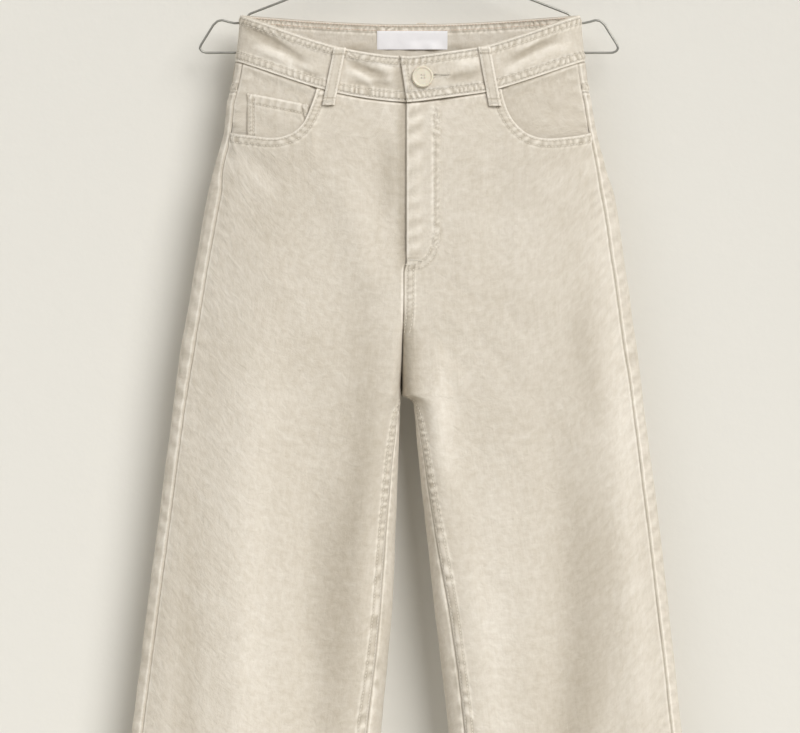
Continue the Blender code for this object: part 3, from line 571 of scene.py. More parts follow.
@dataclass(frozen=True)
class SeamStyle:
    """How a sewn edge looks: rolled at the edge, thicker where it is turned in, and puckered."""

    roll: float = 1.0
    roll_width: float = 1.2
    ridge: float = 0.6
    ridge_width: float = 10.0
    rows: tuple[float, ...] = (2.0, 8.5)
    groove: float = 0.6
    pucker: float = 0.6
    pitch: float = 6.5
    slant: float = 0.35
    reach: float = 5.0
    # shade is painted shade at the edge; glow is the pale line beside it, partly a worn edge and
    # partly a painted highlight
    shade: float = 0.6
    glow: float = 1.0
    seed: int = 1

    def waves(self, distance: Array, along: Array) -> Array:
        """Returns the uneven puckers from -1 to 1, without their fall with the distance."""
        shifted = along + self.slant * distance
        jitter = 0.9 * WAVES(shifted / (2.3 * self.pitch), self.seed * 3.7)
        strength = 0.72 + 0.4 * DRIFT(along / (3.1 * self.pitch), self.seed * 5.1)
        return np.sin(2 * math.pi * (shifted / self.pitch + jitter)) * strength

    def gate(self, distance: Array) -> Array:
        """Returns how strong the puckers are at this distance: most between the stitch rows."""
        last = self.rows[-1] if self.rows else self.ridge_width
        first = self.rows[0] if len(self.rows) > 1 else 0.6
        inside = ramp(distance, first - 1.2, first + 0.8)
        return inside * (1 - ramp(distance, last - 0.6, last + self.reach))

    def relief(self, distance: Array, along: Array) -> Array:
        """Returns how far the edge pushes the cloth out.

        Args:
            distance: how far each point is from the edge, in millimetres.
            along: how far along the edge it is.
        """
        total = -self.roll * bell(distance, self.roll_width)
        past_ridge = ramp(distance, self.ridge_width - 1.5, self.ridge_width + 1.0)
        total = total + self.ridge * (1 - past_ridge)
        for row in self.rows:
            total = total - self.groove * bell(distance - row, 0.95)
        return total + self.pucker * self.gate(distance) * self.waves(distance, along)

    def wear_and_painted_light(self, distance: Array, along: Array) -> Array:
        """Returns a seam's paler and darker places, from -1 to 1: some wear, painted highlights and
        painted shade.
        """
        # Painted shade at the edge and along the stitch rows, a painted highlight past the last
        # row, and painted light and shade that follows the puckers.
        dark = 0.4 if self.shade < 1 else 1.0
        edge = self.glow * bell(distance - dark - 0.9, 0.9) - self.shade * bell(distance, dark)
        rows = sum(bell(distance - row, 0.8) for row in self.rows) if self.rows else 0.0
        beyond = 0.5 * bell(distance - self.rows[-1] - 2.0, 1.0) if self.rows else 0.0
        puckers = 1.5 * self.pucker * self.gate(distance) * self.waves(distance, along)
        return edge - 1.15 * rows + beyond + puckers


def graded(
    start: float, end: float, fine: tuple[float, float], coarse: float, reach: float
) -> Array:
    """Places from start to end whose steps are fine near the ends and coarse between them.

    Args:
        start: the first place.
        end: the last place.
        fine: the steps at the start and at the end.
        coarse: the step in the middle.
        reach: how far from an end its fine steps go.
    """
    length = abs(end - start)
    places, place = [0.0], 0.0
    while place < length:
        from_ends = (place, length - place)
        place += min(
            step + (coarse - step) * float(ramp(away, reach * 0.7, reach * 1.5))
            for step, away in zip(fine, from_ends)
        )
        places.append(place)
    return start + math.copysign(1, end - start) * np.array(places) * length / places[-1]


def unit(ways: Array) -> Array:
    """Returns ways of length 1."""
    return ways / np.linalg.norm(ways, axis=1)[:, None]


def path_distance(path: Array, q: Array, drop: Array) -> tuple[Array, Array]:
    """The distance from points to a path, and how far along the path the nearest place is.

    Args:
        path: the path's points (q, drop), in order.
        q: the points' distances from the centre line.
        drop: the points' heights.
    """
    shape = np.broadcast(q, drop).shape
    points = np.stack(np.broadcast_arrays(q, drop), -1).reshape(-1, 1, 2).astype(float)
    starts, runs = path[:-1], np.diff(path, axis=0)
    lengths = np.linalg.norm(runs, axis=1)
    before = np.concatenate([[0], np.cumsum(lengths)[:-1]])
    nearest, along = np.empty(len(points)), np.empty(len(points))
    for k in range(0, len(points), 4000):
        some = points[k : k + 4000]
        share = np.clip(((some - starts) * runs).sum(-1) / lengths**2, 0, 1)
        away = np.linalg.norm(some - starts - share[..., None] * runs, axis=-1)
        best = away.argmin(axis=1)
        rows = np.arange(len(some))
        nearest[k : k + 4000] = away[rows, best]
        along[k : k + 4000] = before[best] + share[rows, best] * lengths[best]
    return nearest.reshape(shape), along.reshape(shape)


def offset_path(path: Array, distance: float) -> Array:
    """Returns a path moved sideways by a distance, to the left of its way."""
    runs = unit(np.gradient(path, axis=0))
    return path + distance * np.stack([-runs[:, 1], runs[:, 0]], -1)


def smooth_path(points: Sequence[tuple[float, float]], count: int) -> Array:
    """Returns a smooth path of count points through points (q, drop)."""
    points = np.array(points, float)
    lengths = run_of(points)
    wide = np.linspace(0, lengths[-1], count)
    padded = np.vstack([2 * points[0] - points[1], points, 2 * points[-1] - points[-2]])
    k = np.clip(np.searchsorted(lengths, wide, side="right") - 1, 0, len(points) - 2)
    t = ((wide - lengths[k]) / (lengths[k + 1] - lengths[k]))[:, None]
    a, b, c, d = padded[k], padded[k + 1], padded[k + 2], padded[k + 3]
    square, cube = 2 * a - 5 * b + 4 * c - d, 3 * b - a - 3 * c + d
    return 0.5 * (2 * b + (c - a) * t + square * t**2 + cube * t**3)


def run_of(path: Array) -> Array:
    """Returns how far along a path each of its points is."""
    return np.concatenate([[0], np.cumsum(np.linalg.norm(np.diff(path, axis=0), axis=1))])


def arc_along(points: Array, axis: int) -> Array:
    """Returns how far each point of a grid is along its row (axis 1) or column (axis 0)."""
    steps = np.linalg.norm(np.diff(points, axis=axis), axis=-1)
    pad = [(0, 0), (0, 0)]
    pad[axis] = (1, 0)
    return np.pad(np.cumsum(steps, axis=axis), pad)


# The seams: what each looks like on both its sides.
WAIST_SEAM = SeamStyle(
    roll=0.7, ridge=0, ridge_width=5, rows=(), pucker=0.14, pitch=9, reach=12, shade=2.6, glow=0.9,
    seed=2,
)
SIDE_FRONT = SeamStyle(
    roll=0.4, ridge=0, rows=(), pucker=0.15, pitch=14, reach=8, shade=1.5, glow=0.8, seed=3
)
SIDE_STRIP = {
    RIGHT: SeamStyle(
        roll=0.5, roll_width=0.8, ridge=1.1, ridge_width=12, rows=(), pucker=0.3, pitch=19.5,
        slant=0.5, seed=4,
    ),
    LEFT: SeamStyle(
        roll=0.5, roll_width=0.8, ridge=1.1, ridge_width=12, rows=(), pucker=0.28, pitch=13.7,
        slant=0.5, seed=5,
    ),
}
MOUTH_EDGE = SeamStyle(
    roll=0.7, roll_width=0.8, ridge=0.8, ridge_width=10, rows=(2.5, 8.3), pucker=0.55, pitch=6.2,
    glow=1.4,
)
INSEAM_FRONT = SeamStyle(
    roll=0.9, ridge=1.0, ridge_width=9, rows=(1.9, 8.0), pucker=0.65, pitch=6.9, seed=7
)
INSEAM_BACK = SeamStyle(
    roll=0.8, ridge=0, rows=(), pucker=0.4, pitch=6.9, ridge_width=4, reach=6, shade=1.6, seed=8
)
HEM_EDGE = SeamStyle(
    roll=0.7, ridge=1.0, ridge_width=13, rows=(12.0,), pucker=0.8, pitch=15, slant=1.2, seed=9
)
FLY_SEW = SeamStyle(
    roll=0, ridge=0, ridge_width=7, rows=(1.2, 6.2), pucker=0.5, pitch=7.4, reach=7, seed=10
)
FLY_FRONT = SeamStyle(
    roll=0.7, roll_width=1.2, ridge=0.3, rows=(), ridge_width=12, pucker=0.35, pitch=17, slant=0.4,
    reach=8, seed=11,
)
CENTRE_SEAM = SeamStyle(
    roll=0.6, ridge=0.6, ridge_width=10.5, rows=(3.2, 9.2), pucker=0.3, pitch=7.2, shade=1.8,
    seed=12,
)
CENTRE_UNDER = SeamStyle(
    roll=0.4, ridge=0, rows=(), pucker=0.12, pitch=7.2, ridge_width=3, reach=5, glow=1.3, seed=13
)
YOKE_EDGE = SeamStyle(
    roll=0.8, ridge=0.7, ridge_width=9, rows=(1.8, 7.8), pucker=0.5, pitch=7.0, seed=14
)
YOKE_LOW = SeamStyle(
    roll=0.7, ridge=0, rows=(), pucker=0.35, pitch=7.0, ridge_width=4, reach=6, shade=2, seed=15
)
COIN_TOP = SeamStyle(
    roll=0.6, roll_width=0.8, ridge=0.6, ridge_width=11, rows=(9.6,), pucker=0.3, pitch=9,
    glow=1.3, seed=16,
)
COIN_SIDE = SeamStyle(
    roll=0.6, roll_width=0.8, ridge=0.5, ridge_width=6, rows=(2.2, 6.4), pucker=0.4, pitch=6.0,
    reach=3, shade=1.7, seed=17,
)
POCKET_TOP = SeamStyle(
    roll=0.8, ridge=0.8, ridge_width=13, rows=(11.5,), pucker=0.45, pitch=7, seed=18
)
POCKET_EDGE = SeamStyle(
    roll=0.9, ridge=0.5, ridge_width=8, rows=(1.8, 7.4), pucker=0.4, pitch=6.5, seed=19
)
BAND_UPPER = SeamStyle(
    roll=0.9, roll_width=1.1, ridge=0.5, rows=(2.4, 8.0), pucker=0.68, pitch=5.4, glow=1.3, seed=20
)
BAND_LOWER = SeamStyle(
    roll=0.6, roll_width=0.8, ridge=0.55, rows=(2.6, 8.9), pucker=0.72, pitch=5.6, glow=1.3, seed=21
)
BAND_END = SeamStyle(roll=1.1, ridge=0.4, ridge_width=7, rows=(5.6,), pucker=0.35, pitch=6, seed=22)


# ---------------------------------------------------------------- cloth


@dataclass
class StitchRow:
    """A row of stitches along points of the cloth, with the cloth's outward way at each."""

    points: Array
    ups: Array


@dataclass
class Cloth:
    """A grid of points of one cloth piece, and what its seams and creases do to it.

    left, front, drop and q place the points on the form. lift is how far the flat cloth lies out
    from the form, wall is its thickness, and cells is false where the grid has no cloth.
    """

    left: Array | bool
    front: Array | bool
    drop: Array
    q: Array
    lift: Array | float = 0.0
    wall: float = WALL
    cells: Array | None = None
    relief: Array = field(init=False)
    # the wear and the painted light and shade of the cloth, from -1 to 1
    wear_and_painted_light: Array = field(init=False)
    base: Array = field(init=False)
    across: Array = field(init=False)
    down: Array = field(init=False)

    def __post_init__(self) -> None:
        """Lays the flat cloth on the form and measures along it."""
        grids = np.broadcast_arrays(self.left, self.front, self.drop, self.q, self.lift)
        self.left, self.front, self.drop, self.q, self.lift = (np.array(grid) for grid in grids)
        self.relief = self.lift.astype(float)
        self.wear_and_painted_light = np.zeros(self.relief.shape)
        self.base = FORM.point(self.left, self.front, self.drop, self.q, self.relief)
        self.across = arc_along(self.base, 1)
        self.down = arc_along(self.base, 0)

    @property
    def from_far(self) -> Array:
        """How far each point is from its row's last column."""
        return self.across[:, -1:] - self.across

    @property
    def from_foot(self) -> Array:
        """How far each point is from its column's last row."""
        return self.down[-1:] - self.down

    def crease(self, creases: Sequence[Crease]) -> None:
        """Adds soft creases."""
        self.relief += crease_relief(creases, self.left, self.front, self.drop, self.q)

    def crumple(self, size: float, height: float, seed: int) -> None:
        """Adds uneven waves of this size and height."""
        across = self.across - self.across[:, self.across.shape[1] // 2][:, None]
        self.relief += height * WAVES(across / size + 9.1 * seed, self.down / size + 5.3 * seed)

    def seam(
        self, style: SeamStyle, distance: Array, along: Array, share: Array | float = 1.0
    ) -> None:
        """Adds a sewn edge, with its wear and painted light and shade, at its full height where
        share is 1.
        """
        self.relief += share * style.relief(distance, along)
        self.wear_and_painted_light += share * style.wear_and_painted_light(distance, along)

    def outer(self) -> Array:
        """Returns the points of the outer face."""
        return FORM.point(self.left, self.front, self.drop, self.q, self.relief)

    def inner(self) -> Array:
        """Returns the points of the inner face."""
        return FORM.point(self.left, self.front, self.drop, self.q, self.relief - self.wall)

    def ups(self) -> Array:
        """Returns the outward way at every point of the outer face."""
        points = self.outer()
        ways = np.cross(np.gradient(points, axis=1), np.gradient(points, axis=0))
        ways *= np.sign((ways * (points - self.inner())).sum(-1, keepdims=True))
        return ways / np.maximum(np.linalg.norm(ways, axis=-1, keepdims=True), 1e-9)

    def row_at(self, rows: Array, columns: Array) -> StitchRow:
        """Returns a stitch row through places given as uneven row and column numbers."""
        rows = np.clip(rows, 0, self.q.shape[0] - 1.0001)
        columns = np.clip(columns, 0, self.q.shape[1] - 1.0001)
        i, j = rows.astype(int), columns.astype(int)
        u, v = (rows - i)[:, None], (columns - j)[:, None]
        made = []
        for grid in (self.outer(), self.ups()):
            top = grid[i, j] * (1 - v) + grid[i, j + 1] * v
            foot = grid[i + 1, j] * (1 - v) + grid[i + 1, j + 1] * v
            made.append(top * (1 - u) + foot * u)
        return StitchRow(*made)

    def flipped(self) -> "Cloth":
        """Returns this cloth with its inner face as its outer one, to sew on."""
        other = Cloth(self.left, self.front, self.drop, self.q, self.lift, -self.wall, self.cells)
        other.relief = self.relief - self.wall
        return other

    def edge_places(
        self, grid: Array, along: Array, distance: float, start: float, end: float
    ) -> tuple[Array, Array]:
        """The places at a distance from an edge of the cloth.

        Args:
            grid: how far the points of each line are from the edge.
            along: how far along the edge they are.
            distance: from the edge, in millimetres.
            start: how far along the edge the first place is.
            end: how far along it the last place is.

        Returns:
            The lines' numbers, and the uneven number of each one's place.
        """
        places = np.array([place_of(distance, line) for line in grid])
        lines = np.arange(len(grid))
        reached = along[lines, np.minimum(places.astype(int), grid.shape[1] - 1)]
        keep = (reached >= start) & (reached <= end)
        return lines[keep].astype(float), places[keep]

    def down_row(
        self, distance: float, far: bool = False, start: float = 0.0, end: float = math.inf
    ) -> StitchRow:
        """Returns a stitch row down the cloth, by its first column, or by its last where far."""
        grid = self.from_far if far else self.across
        return self.row_at(*self.edge_places(grid, self.down, distance, start, end))

    def across_row(
        self, distance: float, foot: bool = False, start: float = 0.0, end: float = math.inf
    ) -> StitchRow:
        """Returns a stitch row across the cloth, by its first row, or by its last at the foot."""
        grid = self.from_foot if foot else self.down
        columns, rows = self.edge_places(grid.T, self.across.T, distance, start, end)
        return self.row_at(rows, columns)

    def path_row(self, path: Array) -> StitchRow:
        """Returns a stitch row along a path (q, drop) of the face that most of the cloth is on."""
        on_front = bool(self.front.mean() > 0.5)
        here = np.argwhere(self.front == on_front)
        tree = KDTree(len(here))
        for k, (i, j) in enumerate(here):
            tree.insert((self.q[i, j], self.drop[i, j], 0.0), k)
        tree.balance()
        relief = []
        for q, drop in path:
            found = tree.find_n((q, drop, 0.0), 4)
            weights = np.array([1 / (away * away + 1e-4) for _, _, away in found])
            heights = np.array([self.relief[tuple(here[k])] for _, k, _ in found])
            relief.append(float((weights * heights).sum() / weights.sum()))
        relief = np.array(relief)
        left = bool(self.left.mean() > 0.5)
        q, drop = path[:, 0], path[:, 1]
        points = FORM.point(left, on_front, drop, q, relief)

        def near(down: float, out: float) -> Array:
            """Returns the form's points a little lower or further out than the path."""
            return FORM.point(left, on_front, drop + down, q + out)

        ups = np.cross(near(0, 0.5) - near(0, -0.5), near(0.5, 0) - near(-0.5, 0))
        outward = FRONT.sign if on_front else BACK.sign
        ups *= np.sign(ups[:, 1:2]) * outward
        return StitchRow(points, unit(ups))


def place_of(distance: float, arcs: Array) -> float:
    """Returns the uneven number of the place where rising or falling arcs reach a distance."""
    numbers = np.arange(len(arcs), dtype=float)
    if arcs[0] > arcs[-1]:
        arcs, numbers = arcs[::-1], numbers[::-1]
    return float(np.interp(distance, arcs, numbers))


# ---------------------------------------------------------------- meshes


def new_object(name: str, mesh: Mesh, material: Material | None) -> Object:
    """Returns a new object of the scene with one material."""
    obj = bpy.data.objects.new(name, mesh)
    if material is not None:
        obj.data.materials.append(material)
    bpy.context.scene.collection.objects.link(obj)
    return obj


def shell_mesh(
    name: str, outer: Array, inner: Array, cells: Array | None, wear_and_painted_light: Array
) -> Mesh:
    """A closed wall between two grids of points, in millimetres.

    Args:
        name: the mesh's name.
        outer: the outer face's points, as rows and columns.
        inner: the inner face's points.
        cells: false where the grid has no cloth, or None.
        wear_and_painted_light: the paler and darker places, from -1 to 1: some wear, and painted
            light and shade.

    Returns:
        The mesh in metres, with its cloth map in metres and its wear and painted light and shade.
    """
    rows, columns = outer.shape[:2]
    index = np.arange(rows * columns).reshape(rows, columns)
    quads = np.stack([index[:-1, :-1], index[:-1, 1:], index[1:, 1:], index[1:, :-1]], -1)
    quads = quads.reshape(-1, 4) if cells is None else quads[cells]
    flat = outer.reshape(-1, 3)
    normal = np.cross(flat[quads[:, 2]] - flat[quads[:, 0]], flat[quads[:, 3]] - flat[quads[:, 1]])
    outward = (normal * (flat - inner.reshape(-1, 3))[quads[:, 0]]).sum()
    quads = quads if outward > 0 else quads[:, ::-1]
    edges = np.stack([quads, np.roll(quads, -1, axis=1)], -1).reshape(-1, 2)
    size = rows * columns
    codes = edges[:, 0] * size + edges[:, 1]
    border = edges[~np.isin(codes, edges[:, 1] * size + edges[:, 0])]
    walls = np.stack([border[:, 1], border[:, 0], border[:, 0] + size, border[:, 1] + size], -1)
    faces = np.concatenate([quads, quads[:, ::-1] + size, walls])
    used, faces = np.unique(faces, return_inverse=True)
    faces = faces.reshape(-1, 4)
    points = np.concatenate([flat, inner.reshape(-1, 3)])[used]
    mesh = bpy.data.meshes.new(name)
    mesh.vertices.add(len(points))
    mesh.vertices.foreach_set("co", (points * MM).astype(np.float32).ravel())
    mesh.loops.add(faces.size)
    mesh.loops.foreach_set("vertex_index", faces.astype(np.int32).ravel())
    mesh.polygons.add(len(faces))
    mesh.polygons.foreach_set("loop_start", np.arange(0, faces.size, 4, dtype=np.int32))
    across, down = arc_along(outer, 1), arc_along(outer, 0)
    across = across - across[:, columns // 2 : columns // 2 + 1]
    cloth_map = np.tile(np.stack([across, down], -1).reshape(-1, 2) * MM, (2, 1))[used]
    layer = mesh.uv_layers.new(name="cloth")
    layer.data.foreach_set("uv", cloth_map[faces.ravel()].astype(np.float32).ravel())
    # the mesh carries its wear and its painted light and shade
    washed = mesh.attributes.new("wear_and_painted_light", "FLOAT", "POINT")
    values = np.tile(np.clip(wear_and_painted_light, -1, 1).ravel(), 2)[used]
    washed.data.foreach_set("value", values.astype(np.float32))
    mesh.update(calc_edges=True)
    mesh.validate()
    mesh.shade_smooth()
    mesh.set_sharp_from_angle(angle=math.radians(52))
    return mesh


def circle(count: int) -> Array:
    """Returns angles at even places round a circle."""
    return np.arange(count) * 2 * math.pi / count


def ring_faces(rows: int, sides: int, closed: bool = False) -> list[tuple[int, ...]]:
    """Returns the faces between rings of points, and back to the first ring if closed."""
    index = np.arange(rows * sides).reshape(rows, sides)
    here, after = (index, np.roll(index, -1, axis=0)) if closed else (index[:-1], index[1:])
    quads = np.stack([here, after, np.roll(after, -1, axis=1), np.roll(here, -1, axis=1)], -1)
    return [tuple(map(int, quad)) for quad in quads.reshape(-1, 4)]


def signed_volume(mesh: Mesh) -> float:
    """Returns a closed mesh's volume, below 0 if its faces point inwards."""
    total = 0.0
    for face in mesh.polygons:
        points = [mesh.vertices[k].co for k in face.vertices]
        for b, c in zip(points[1:-1], points[2:]):
            total += points[0].dot(b.cross(c)) / 6
    return total


def solid_mesh(name: str, points: Array, faces: list[tuple[int, ...]]) -> Mesh:
    """Returns a closed smooth mesh of points in millimetres, with its faces outwards."""
    mesh = bpy.data.meshes.new(name)
    mesh.from_pydata((points * MM).tolist(), [], faces)
    if signed_volume(mesh) < 0:
        mesh.flip_normals()
    mesh.shade_smooth()
    mesh.set_sharp_from_angle(angle=math.radians(50))
    return mesh


def sheet_sizes(outer: Array, cells: Array | None) -> tuple[tuple[float, float], float]:
    """The size that a piece was cut to, measured along its cloth.

    Args:
        outer: the outer face's points.
        cells: false where the grid has no cloth, or None.

    Returns:
        Its width and length, and its area, in metres and square metres.
    """
    width = float(arc_along(outer, 1)[:, -1].max()) * MM
    length = float(arc_along(outer, 0)[-1].max()) * MM
    a, b = outer[1:, 1:] - outer[:-1, :-1], outer[1:, :-1] - outer[:-1, 1:]
    areas = np.linalg.norm(np.cross(a, b), axis=-1) / 2
    area = float((areas if cells is None else areas[cells]).sum()) * MM * MM
    flat = (math.ceil(width * 1e4) / 1e4, math.ceil(length * 1e4) / 1e4)
    return flat, math.floor(min(area, width * length) * 1e6) / 1e6


# ---------------------------------------------------------------- finishes


def fill(tree: Tree, node: Node, inputs: dict) -> None:
    """Gives a node's inputs their values, or joins them to the sockets of other nodes."""
    for name, value in inputs.items():
        if isinstance(value, Socket):
            tree.links.new(value, node.inputs[name])
        else:
            node.inputs[name].default_value = value


def add_node(
    tree: Tree, kind: str, inputs: dict, output: int | str = 0, **settings
) -> Socket:
    """Adds a node to a tree.

    Args:
        tree: the tree.
        kind: the node's type.
        inputs: a value, or another node's socket, for each of its inputs.
        output: which of its sockets to return.
        settings: the node's own settings.

    Returns:
        One of its output sockets.
    """
    node = tree.nodes.new(kind)
    for name, value in settings.items():
        setattr(node, name, value)
    fill(tree, node, inputs)
    return node.outputs[output]


class Shader:
    """Adds nodes to one material and joins them."""

    def __init__(self, name: str) -> None:
        """Starts a material that has a Principled shader."""
        self.material = bpy.data.materials.new(name)
        self.material.use_nodes = True
        self.tree = self.material.node_tree
        self.surface = self.tree.nodes["Principled BSDF"]

    def node(
        self, kind: str, inputs: dict | None = None, output: int | str = 0, **settings
    ) -> Socket:
        """Adds a shader node, as add_node does."""
        return add_node(self.tree, "ShaderNode" + kind, inputs or {}, output, **settings)

    def place(self) -> Socket:
        """Returns the place on the object."""
        return self.node("TexCoord", output="Object")

    def cloth(self) -> Socket:
        """Returns the place on the cloth map."""
        return self.node("UVMap", uv_map="cloth")

    def mark(self, name: str) -> Socket:
        """Returns a value that the mesh carries."""
        return self.node("Attribute", output="Fac", attribute_name=name)

    def drawn(
        self, vector: Socket, angle: float, x: float = 1, y: float = 1, z: float = 1
    ) -> Socket:
        """Returns a place turned by an angle and drawn out along each way."""
        inputs = {"Vector": vector, "Rotation": (0, 0, angle), "Scale": (x, y, z)}
        return self.node("Mapping", inputs)

    def noise(
        self,
        vector: Socket,
        scale: float,
        detail: float,
        output: int | str = 0,
        flat: bool = False,
        kind: str = "FBM",
        **more: float,
    ) -> Socket:
        """Adds cloudy noise.

        Args:
            vector: the place.
            scale: how close its clouds are.
            detail: how much fine unevenness they have.
            output: which of its sockets to return.
            flat: true on the cloth map, which has two ways only.
            kind: its kind.
            more: others of its inputs.
        """
        inputs = {"Vector": vector, "Scale": scale, "Detail": detail, **more}
        ways = "2D" if flat else "3D"
        return self.node("TexNoise", inputs, output, noise_dimensions=ways, noise_type=kind)

    def math(
        self, operation: str, a: Socket, b: Socket | float = 0.0, c: Socket | float = 0.0
    ) -> Socket:
        """Returns the result of a Math node on two or three values or sockets."""
        return self.node("Math", {0: a, 1: b, 2: c}, operation=operation)

    def scaled(self, a: Socket, share: float, b: Socket | float = 0.0) -> Socket:
        """Returns a share of one value, added to another."""
        return self.math("MULTIPLY_ADD", a, share, b)

    def tint(self, tone: Socket, light: Triple, deep: Triple) -> Socket:
        """Returns a colour that goes from light, where the tone is 0, to deep."""
        inputs = {"Factor": tone, 6: (*light, 1.0), 7: (*deep, 1.0)}
        return self.node("Mix", inputs, 2, data_type="RGBA", clamp_factor=True)

    def bump(self, height: Socket, distance: float, normal: Socket | None = None) -> Socket:
        """Returns a Bump node's normal, on top of another normal."""
        inputs = {"Height": height, "Distance": distance, "Strength": 1.0}
        if normal is not None:
            inputs["Normal"] = normal
        return self.node("Bump", inputs)

    def dress(
        self, colour: Socket, normal: Socket, roughness: Socket | float, **values: float
    ) -> Material:
        """Finishes the Principled shader.

        Args:
            colour: its base colour.
            normal: its normal.
            roughness: its roughness.
            values: others of its inputs, with _ for a space.

        Returns:
            The material.
        """
        inputs = {"Base Color": colour, "Normal": normal, "Roughness": roughness}
        inputs |= {name.replace("_", " "): value for name, value in values.items()}
        fill(self.tree, self.surface, inputs)
        return self.material


@dataclass(frozen=True)
class Denim:
    """Washed ecru twill: a fine slanting weave, uneven yarns, and the crumples of washing."""

    name: str
    light: Triple
    deep: Triple

    def material(self) -> Material:
        """Returns the cloth's material, which follows the cloth map and the mesh's wear and painted
        light and shade.
        """
        s = Shader(self.name)
        cloth, wear_and_painted_light = s.cloth(), s.mark("wear_and_painted_light")
        warped = s.noise(cloth, 38.0, 2.0, "Color", flat=True)
        shift = s.node("VectorMath", {0: warped, 1: (0.5, 0.5, 0.5)}, operation="SUBTRACT")
        inputs = {0: shift, 1: (0.03, 0.03, 0.0), 2: cloth}
        bent = s.node("VectorMath", inputs, operation="MULTIPLY_ADD")
        ridged = dict(flat=True, kind="RIDGED_MULTIFRACTAL", Roughness=0.45, Lacunarity=2.1)
        veins = s.noise(s.drawn(bent, 0.75, 1.0, 2.6), 34.0, 3.0, **ridged)
        fine_veins = s.noise(s.drawn(bent, -0.5, 1.0, 2.0), 72.0, 3.0, **ridged)
        clouds = s.noise(s.place(), 11.0, 4.0, Roughness=0.55)
        grain = s.noise(cloth, 150.0, 3.0, flat=True, Roughness=0.6)
        fuzz = s.noise(cloth, 520.0, 2.0, flat=True, Roughness=0.6)
        warp = s.noise(s.drawn(cloth, 0, 620.0, 26.0), 1.0, 2.0, flat=True)
        weft = s.noise(s.drawn(cloth, 0, 22.0, 560.0), 1.0, 2.0, flat=True)
        inputs = {"Vector": s.drawn(cloth, 1.08), "Scale": 330.0, "Distortion": 1.2}
        inputs |= {"Detail": 1.5, "Detail Scale": 1.4}
        twill = s.node("TexWave", inputs, "Fac", wave_profile="SIN")
        # colour
        parts = [(clouds, 0.46), (grain, 0.56), (fuzz, 0.12), (warp, 0.14)]
        parts += [(weft, 0.10), (veins, -0.12), (twill, 0.05)]
        tone = s.scaled(wear_and_painted_light, -0.1, 0.46 - 0.5 * sum(share for _, share in parts))
        for part, share in parts:
            tone = s.scaled(part, share, tone)
        # the wear and painted light and shade scale the colour: warmer in painted shade, paler and
        # whiter in painted light
        light_and_wear = s.math("MINIMUM", s.math("MAXIMUM", s.scaled(wear_and_painted_light, 0.23, 1.0), 0.25), 1.2)
        green, blue = s.math("POWER", light_and_wear, 1.07), s.math("POWER", light_and_wear, 1.2)
        warmer_in_shade = s.node("CombineXYZ", {"X": light_and_wear, "Y": green, "Z": blue})
        inputs = {0: s.tint(tone, self.light, self.deep), 1: warmer_in_shade}
        colour = s.node("VectorMath", inputs, operation="MULTIPLY")
        # relief
        normal = s.bump(veins, 0.0002)
        weave = s.math("ADD", s.math("MULTIPLY", twill, 0.8), warp)
        heights = [(fine_veins, 0.00024), (grain, 0.0005), (fuzz, 0.00014), (weave, 0.00013)]
        for height, distance in heights:
            normal = s.bump(height, distance, normal)
        rough = s.scaled(grain, 0.16, 0.78)
        values = dict(Sheen_Weight=0.12, Sheen_Roughness=0.6, Specular_IOR_Level=0.25)
        return s.dress(colour, normal, rough, **values)


@dataclass(frozen=True)
class Thread:
    """Cotton sewing thread, twisted from plies."""

    name: str
    light: Triple
    deep: Triple

    def material(self) -> Material:
        """Returns the thread's material."""
        s = Shader(self.name)
        place = s.place()
        plies = s.math("SINE", s.math("MULTIPLY", s.mark("twist"), 6.2832))
        lint, shade = s.noise(place, 1400.0, 2.0), s.noise(place, 60.0, 2.0)
        tone = s.scaled(plies, 0.18, s.scaled(lint, 0.4, s.math("MULTIPLY", shade, 0.5)))
        colour = s.tint(tone, self.light, self.deep)
        normal = s.bump(s.scaled(lint, 0.6, plies), 0.00005)
        values = dict(Sheen_Weight=0.2, Sheen_Roughness=0.5, Specular_IOR_Level=0.35)
        return s.dress(colour, normal, 0.62, **values)


@dataclass(frozen=True)
class SteelWire:
    """Drawn steel wire with fine scratches and a thin dull film."""

    name: str = "hanger_steel"

    def material(self) -> Material:
        """Returns the wire's material."""
        s = Shader(self.name)
        place = s.place()
        lines = s.noise(s.drawn(place, 0, 60.0, 2200.0, 900.0), 1.0, 3.0)
        film = s.noise(place, 90.0, 4.0)
        colour = s.tint(film, (0.44, 0.435, 0.40), (0.27, 0.265, 0.24))
        rough = s.scaled(lines, 0.22, 0.3)
        return s.dress(colour, s.bump(lines, 0.00004), rough, Metallic=0.85)


@dataclass(frozen=True)
class Resin:
    """Cream button resin, faintly clouded."""

    name: str = "button_resin"

    def material(self) -> Material:
        """Returns the button's material."""
        s = Shader(self.name)
        place = s.place()
        cloud = s.noise(place, 260.0, 4.0, Distortion=1.5)
        normal = s.bump(s.noise(place, 2600.0, 1.0), 0.00002)
        colour = s.tint(cloud, (0.83, 0.77, 0.64), (0.72, 0.65, 0.51))
        rough = s.scaled(cloud, 0.15, 0.34)
        values = dict(Coat_Weight=0.25, Coat_Roughness=0.3)
        values |= dict(Subsurface_Weight=0.08, Subsurface_Scale=0.002)
        return s.dress(colour, normal, rough, **values)


